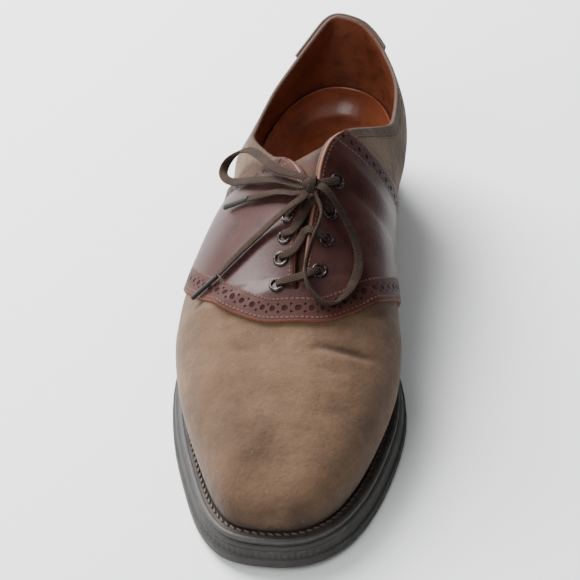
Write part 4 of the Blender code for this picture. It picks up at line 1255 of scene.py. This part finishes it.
# the saddle: both sides between its front and rear edges; it is mapped by the distance
# from each edge, and from the throat where the sides don't join
def makeSaddle():
    def edge(name):
        return lambda up: edgeAt(saddleTable, saddleColumns, name, up)

    rears = [edge("rearLateral"), edge("rearMedial")]
    grids = overlayGrids([edge("front")] * 2, rears, saddleForm["lift"])
    frontLine = evenLine(np.concatenate([grids[0][0], grids[1][0, -2::-1]]), 0.5 * mm)
    joined = (np.linalg.norm(grids[0][:, -1] - grids[1][:, -1], axis=-1) < 1.2 * mm)[:, None, None]
    maps = {
        "front": [alongLine(grid, frontLine) for grid in grids],
        "rear": [alongLine(grid, evenLine(grid[-1], 0.5 * mm)) for grid in grids],
        "throat": [fromTop(grid) + joined * [0, 60] for grid in grids],
    }
    maps = {name: np.stack(pair) for name, pair in maps.items()}
    piece = sheetOf("saddlePanel", grids, [brown, rawEdge], maps)
    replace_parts(thicken(piece, saddleForm["thick"], 1, inner=0, rim=1), "saddle")


stayLook = {"dark": (52, 32, 26), "light": (82, 56, 46), "lift": 0.1 * mm, "thick": 1.4 * mm}


# smooth leather with two seams along the strap's edge
def stayPaint():
    paint = Paint("stayLeather", 0.45, Specular_IOR_Level=0.25)
    arc, away = paint.map("edge")
    patch = paint.noise(0.010, 4, 0.6)
    colour = paint.mix(patch.ramp(0.3, 0.7), stayLook["dark"], stayLook["light"])
    thread = (stitch(arc, away, 1.8) + stitch(arc, away, 3.2)).clamped()
    colour = paint.mix(thread * 0.7, colour, saddleLook["thread"])
    height = paint.cells(0.0011) * 0.05 + patch * 0.1 + thread * 0.35
    return paint.finishWith(colour, 0.42 + patch * 0.2, paint.bump(height, 1.0 * mm))


# the heel stay: from its edge to the back seam on both sides
def makeStay():
    def edge(up):
        return edgeAt(stayTable, stayColumns, "edge", up)

    def back(up):
        return np.full(len(up), 0.5)

    grids = overlayGrids([edge] * 2, [back] * 2, stayLook["lift"])
    maps = {"edge": np.stack([alongLine(grid, evenLine(grid[0], 0.5 * mm)) for grid in grids])}
    piece = sheetOf("heelStay", grids, [stayBrown, collarEdge], maps)
    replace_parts(thicken(piece, stayLook["thick"], 1, inner=0, rim=1), "heel_stay")


stayBrown = stayPaint()
makeSaddle()
makeStay()
print("saddle and heel stay made")

# the tongue: from and to along the shoe, the lowest and highest height on the profile
tongueLook = {
    "from": -0.185, "to": 0.098, "low": 0.80, "high": 0.988, "under": 0.7 * mm, "thick": 2.2 * mm,
    "rows": 90, "columns": 18, "dark": (46, 26, 20), "light": (78, 50, 38),
}


# the tongue: the upper's own surface moved in under the facings, across both sides
def makeTongue():
    turns = np.linspace(turnAt(tongueLook["from"]), turnAt(tongueLook["to"]), tongueLook["rows"])
    ups = np.linspace(tongueLook["low"], tongueLook["high"], tongueLook["columns"])
    turns, ups = np.broadcast_arrays(turns[:, None], ups[None, :])
    depth = -shoe["wall"] - tongueLook["under"]
    lateral, medial = (upperOffset(side, turns, ups, depth, False) for side in (-1, 1))
    grid = np.concatenate([lateral, medial[:, ::-1]], axis=1)
    faces = gridFaces(*grid.shape[:2])
    piece = makePiece("tongueFlap", grid, faces, [tongueLeather, rawEdge], {}, closed=False)
    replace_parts(thicken(piece, tongueLook["thick"], -1, inner=0, rim=1), "tongue")


# soft leather in two tones
def tonguePaint():
    paint = Paint("tongueLeather", 0.5, Specular_IOR_Level=0.15)
    patch = paint.noise(0.010, 4, 0.6)
    colour = paint.mix(patch.ramp(0.3, 0.7), tongueLook["dark"], tongueLook["light"])
    height = paint.cells(0.0012) * 0.05 + patch * 0.2
    return paint.finishWith(colour, 0.5 + patch * 0.2, paint.bump(height, 1.0 * mm))


# the footbed: the rim's height on the profile at toe, middle and heel, and the cup at the heel; the deep tone
# is painted shade towards the front
footbedLook = {
    "stations": 200, "across": 60, "floor": 3.0 * mm, "gap": 0.6 * mm, "roll": 1.6 * mm, "thick": 1.2 * mm,
    "rim": (0.10, 0.11, 0.13), "cupRim": 0.11, "cupFrom": 0.02, "cupOver": 0.26, "cupLift": 0.8 * mm,
    "fan": 24 * mm, "base": (122, 62, 38), "light": (148, 84, 56), "worn": (84, 38, 24), "deep": (74, 38, 24),
}


# footbed: across each station a smooth curve from one rim, down the cup, over the
# flat and up to the other rim
def makeFootbed():
    turns = stations(footbedLook["stations"])[1:]
    turns[-1] = lastRow - 0.03
    along = plan("along", turns)
    floor = bedTop(along) + footbedLook["floor"]
    t = np.clip((along - footbedLook["cupFrom"]) / footbedLook["cupOver"], 0, 1)
    cup = t * t * (3 - 2 * t)
    rim = np.interp(along, (-0.5, 0.0, 0.5), footbedLook["rim"]) + footbedLook["cupRim"] * cup
    gap, roll = shoe["wall"] + footbedLook["gap"], footbedLook["roll"]
    controls = []
    for side in (-1, 1):
        high = [
            upperOffset(side, turns, rim * share, -gap - roll * min(1, 2 - 2 * share), False)
            for share in (1, 0.55)
        ]
        low = [
            np.concatenate([inset(side, turns, 1, 1, gap + more * roll), height[:, None]], -1)
            for more, height in ((3, floor + footbedLook["cupLift"] * cup), (7, floor))
        ]
        controls.append(high + low)
    middle = (controls[0][-1] + controls[1][-1]) / 2
    over = np.clip(middle[:, 1] - middle[-1, 1] + footbedLook["fan"], 0, None)
    middle[:, 1] -= over * over / (64 * mm)  # ends ahead of the cup, so the rows fan out round it
    rows = np.stack(controls[0] + [middle] + controls[1][::-1])
    place = np.arange(float(len(rows)))
    fine = np.linspace(0, place[-1], footbedLook["across"])
    pull = np.stack([spline(place, row, fine) for row in np.eye(len(place))])
    grid = np.tensordot(pull.T, rows, 1)
    faces = gridFaces(*grid.shape[:2])
    piece = makePiece("footbed", grid, faces, [sock], {}, weld=0.7 * mm, closed=False)
    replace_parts(thicken(piece, footbedLook["thick"], -1), "insole")


# glossy leather: clouds of tone, worn spots, and painted shade towards the front
def sockPaint():
    paint = Paint("sockLeather", 0.3, Coat_Roughness=0.2)
    along = paint.places()[1]
    cloud = paint.noise(0.02, 4, 0.6)
    wear = paint.noise(0.006, 4, 0.6, shift=0.6)
    colour = paint.mix(cloud.ramp(0.3, 0.7), footbedLook["base"], footbedLook["light"])
    colour = paint.mix((1 - wear.ramp(0.3, 0.5)) * 0.35, colour, footbedLook["worn"])
    # painted shade: darker towards the front, under the vamp
    colour = paint.mix((1 - along.ramp(0, 80)) * 0.6, colour, footbedLook["deep"])
    height = wear * 0.3 + paint.cells(0.0014) * 0.04
    return paint.finishWith(colour, 0.26 + wear * 0.2, paint.bump(height, 1.0 * mm), 0.35)


tongueLeather = tonguePaint()
sock = sockPaint()
makeTongue()
makeFootbed()
print("tongue and footbed made")

# the welt's rounded outer rim, and the stitches on it
weltForm = {"stations": 300, "round": 0.8 * mm, "roundSteps": 5}
threadForm = {
    "stations": 400, "share": 0.70, "lift": 0.05 * mm, "pitch": 3.6 * mm, "length": 3.1 * mm,
    "radius": 0.68 * mm, "lean": 0.30,
}


# closed ring round the sole: lateral side toe to heel, then medial side back
def ringOf(lateral, medial):
    return np.concatenate([lateral, medial[-2:0:-1]])


# points in the plan given a height
def withHeight(flat, height):
    return np.concatenate([flat, np.broadcast_to(height, flat.shape[:-1])[..., None]], -1)


# the welt: a closed profile carried round the sole, given as the share of the welt's
# width drawn in, the length drawn in besides, and the drop from the bed
def makeWelt():
    turns = stations(weltForm["stations"])
    top = bedTop(plan("along", turns))
    thick, tuck = shoe["weltThickness"], shoe["weltTuck"]
    corner = [
        (0, weltForm["round"] * (1 - np.sin(a)), weltForm["round"] * (1 - np.cos(a)))
        for a in np.linspace(0, np.pi / 2, weltForm["roundSteps"])
    ]
    edge = [(1, tuck, 0)] + corner + [(0, 0, thick), (1, tuck, thick), (1, tuck, 0)]
    rings = np.array([
        ringOf(*(withHeight(inset(side, turns, 1, share, more), top - down) for side in (-1, 1)))
        for share, more, down in edge
    ])
    width = shoe["weltWidth"] * bed("welt", 0.0)
    maps = np.zeros((*rings.shape[:2], 2))
    maps[..., 0] = np.array([0 if down > mm else share + more / width for share, more, down in edge])[:, None]
    faces = gridFaces(*rings.shape[:2], wrap=True)
    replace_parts(makePiece("weltRing", rings, faces, [weltLeather], {"across": maps}), "welt")


# one capsule for each stitch along a line, a small tube with rounded ends that leans
# across it; all of them are one mesh
def capsules(name, line, normals, form, finish):
    arc = lengthAlong(line)
    count = int(arc[-1] / form["pitch"])
    at = (np.arange(count) + 0.5) * arc[-1] / count
    half = form["length"] / 2
    centre = pointsAt(at, arc, line)
    run = unit(pointsAt(at + half, arc, line) - pointsAt(at - half, arc, line))
    side = unit(np.cross(run, pointsAt(at, arc, normals)))
    out = np.cross(side, run)
    run = run + side * form["lean"]
    around, stages = 6, ((-1.0, 0.0), (-0.88, 0.7), (-0.5, 1.0), (0.5, 1.0), (0.88, 0.7), (1.0, 0.0))
    angle = np.arange(around)[None, :, None] * 2 * np.pi / around
    ray = (side[:, None] * np.cos(angle) + out[:, None] * np.sin(angle)) * form["radius"]
    rings = np.stack([
        centre[:, None] + run[:, None] * (share * half) + ray * size for share, size in stages
    ], 1)
    one = gridFaces(len(stages), around, wrap=True)
    faces = (one[None] + (np.arange(count) * len(stages) * around)[:, None, None]).reshape(-1, 4)
    return makePiece(name, rings, faces, [finish], {}, weld=0.001 * mm)


# the stitches lie on the welt, all the way round
def makeWeltStitches():
    turns = stations(threadForm["stations"])
    height = bedTop(plan("along", turns)) + threadForm["lift"]
    line = ringOf(*(withHeight(inset(side, turns, 1, threadForm["share"]), height) for side in (-1, 1)))
    line = np.concatenate([line, line[:1]])
    capsules("weltStitches", line, np.broadcast_to([0.0, 0.0, 1.0], line.shape), threadForm, waxed)


# sides of the sole: stations round outsole and heel, the ribs, and how thick the bands are
soleForm = {
    "stations": 520, "heelStations": 160, "heelFrom": 0.2405, "ribPitch": 3.0 * mm, "ribDeep": 0.45 * mm,
    "inner": 1.4 * mm, "proud": 0.12 * mm, "low": 0.02 * mm, "tuck": 0.1 * mm,
}

# edge of the outsole from the welt down: shares of the flare and of the thickness,
# and how deep the upright ribs are there
soleEdge = (
    (0.04, 0.00, 0), (0.12, 0.012, 0), (0.24, 0.05, 0), (0.31, 0.13, 0), (0.27, 0.155, 0), (0.28, 0.195, 0),
    (0.42, 0.22, 0), (0.47, 0.26, 0), (0.44, 0.30, 0), (0.50, 0.33, 1), (0.56, 0.42, 1), (0.62, 0.52, 1),
    (0.66, 0.555, 0), (0.88, 0.58, 0), (0.94, 0.61, 0), (0.97, 0.70, 0), (1.00, 0.86, 0), (0.98, 0.95, 0),
    (0.86, 1.00, 0),
)
heelEdge = (
    (0.70, 0.00, 0), (0.73, 0.05, 0), (0.76, 0.35, 0.6), (0.78, 0.58, 0.6), (0.80, 0.62, 0), (0.94, 0.65, 0),
    (0.98, 0.72, 0), (1.00, 0.90, 0), (0.96, 0.97, 0), (0.80, 1.00, 0),
)


# a closed band over the side of a sole layer: its outer face follows the edge table,
# with small upright ribs, and its inner face is a plain wall behind it
def soleBand(name, edge, turns, top, bottom, ring):
    ribs = []
    for side in (-1, 1):
        arc = lengthAlong(ground(side, turns))
        wave = np.clip(np.sin(arc * 2 * np.pi / soleForm["ribPitch"]) * 2.2, -1, 1)
        ribs.append((wave - 1) / 2)
    rings = []
    for out, down, rib in [*edge, (edge[-1][0], 1.0, -1), (edge[0][0], 0.0, -1), edge[0]]:
        pair = []
        for side, wave in zip((-1, 1), ribs):
            back = soleForm["inner"] if rib < 0 else 0.0
            more = back - soleForm["proud"] - max(rib, 0) * wave * soleForm["ribDeep"]
            pair.append(withHeight(inset(side, turns, 1 - out, 0, more), top + (bottom - top) * down))
        rings.append(ringOf(*pair) if ring else np.concatenate([pair[0], pair[1][-2::-1]]))
    rings = np.array(rings)
    makePiece(name, rings, gridFaces(*rings.shape[:2], wrap=ring), [rubber], {})


# outsole from under the welt to the ground, heel from under the outsole to the ground
def makeSoleBands():
    turns = stations(soleForm["stations"])
    along = plan("along", turns)
    top = bedTop(along) - shoe["weltThickness"] + soleForm["tuck"]
    soleBand("outsoleEdge", soleEdge, turns, top, underside(along) + soleForm["low"], True)
    turns = stations(soleForm["heelStations"], turnAt(soleForm["heelFrom"]))
    top = underside(plan("along", turns)) - shoe["clearance"]
    soleBand("heelEdge", heelEdge, turns, top, np.full_like(top, soleForm["low"]), False)


makeWelt()
makeWeltStitches()
makeSoleBands()
for name in ("outsole", "heel"):
    solid = bpy.data.objects[name]
    solid.data.materials.clear()
    solid.data.materials.append(rubber)
print("welt and sole made")

# floor, a card out of the picture, lights and the room's own light
floorLook = {"colour": (243, 245, 244), "half": 1.6}
cardLook = {"across": 0.205, "along": 0.26, "top": 0.24, "colour": (22, 17, 14)}
lightLook = (
    {"name": "keyLight", "at": (-0.85, 0.75, 1.25), "size": 1.1, "power": 95.0},
    {"name": "fillLight", "at": (-0.7, -1.0, 1.3), "size": 1.0, "power": 16.0},
)
roomLook = {"colour": (0.86, 0.88, 0.90, 1), "strength": 0.62}


# one flat quad of the stage
def makeStage(name, corners, finish):
    mesh = bpy.data.meshes.new(name)
    mesh.from_pydata(corners, [], [(0, 1, 2, 3)])
    mesh.materials.append(finish)
    stage = bpy.data.objects.new(name, mesh)
    bpy.context.scene.collection.objects.link(stage)
    return stage


# a level square under the shoe
def makeFloor():
    half = floorLook["half"]
    corners = [(-half, -half, 0), (half, -half, 0), (half, half, 0), (-half, half, 0)]
    makeStage("floor", corners, Paint("paleFloor", 0.9).finishWith(floorLook["colour"]))


# an upright card on the medial side, so that the leather there has something dark to mirror
def makeCard():
    x, y, top = (cardLook[name] for name in ("across", "along", "top"))
    corners = [(x, -y, 0), (x, y, 0), (x, y, top), (x, -y, top)]
    finish = Paint("darkCard", 0.95, Specular_IOR_Level=0.0).finishWith(cardLook["colour"])
    makeStage("darkCard", corners, finish).visible_camera = False


# square lamps aimed at the shoe, in a pale room
def makeLights():
    for look in lightLook:
        data = bpy.data.lights.new(look["name"], "AREA")
        data.shape = "SQUARE"
        data.size = look["size"]
        data.energy = look["power"]
        lamp = bpy.data.objects.new(look["name"], data)
        bpy.context.scene.collection.objects.link(lamp)
        lamp.location = look["at"]
        aim = Vector((0, 0, 0.04)) - Vector(look["at"])
        lamp.rotation_euler = aim.to_track_quat("-Z", "Y").to_euler()
    world = bpy.data.worlds.new("paleRoom")
    world.use_nodes = True
    shade = world.node_tree.nodes["Background"].inputs
    shade["Color"].default_value = roomLook["colour"]
    shade["Strength"].default_value = roomLook["strength"]
    bpy.context.scene.world = world


makeFloor()
makeCard()
makeLights()
print("floor and lights made")
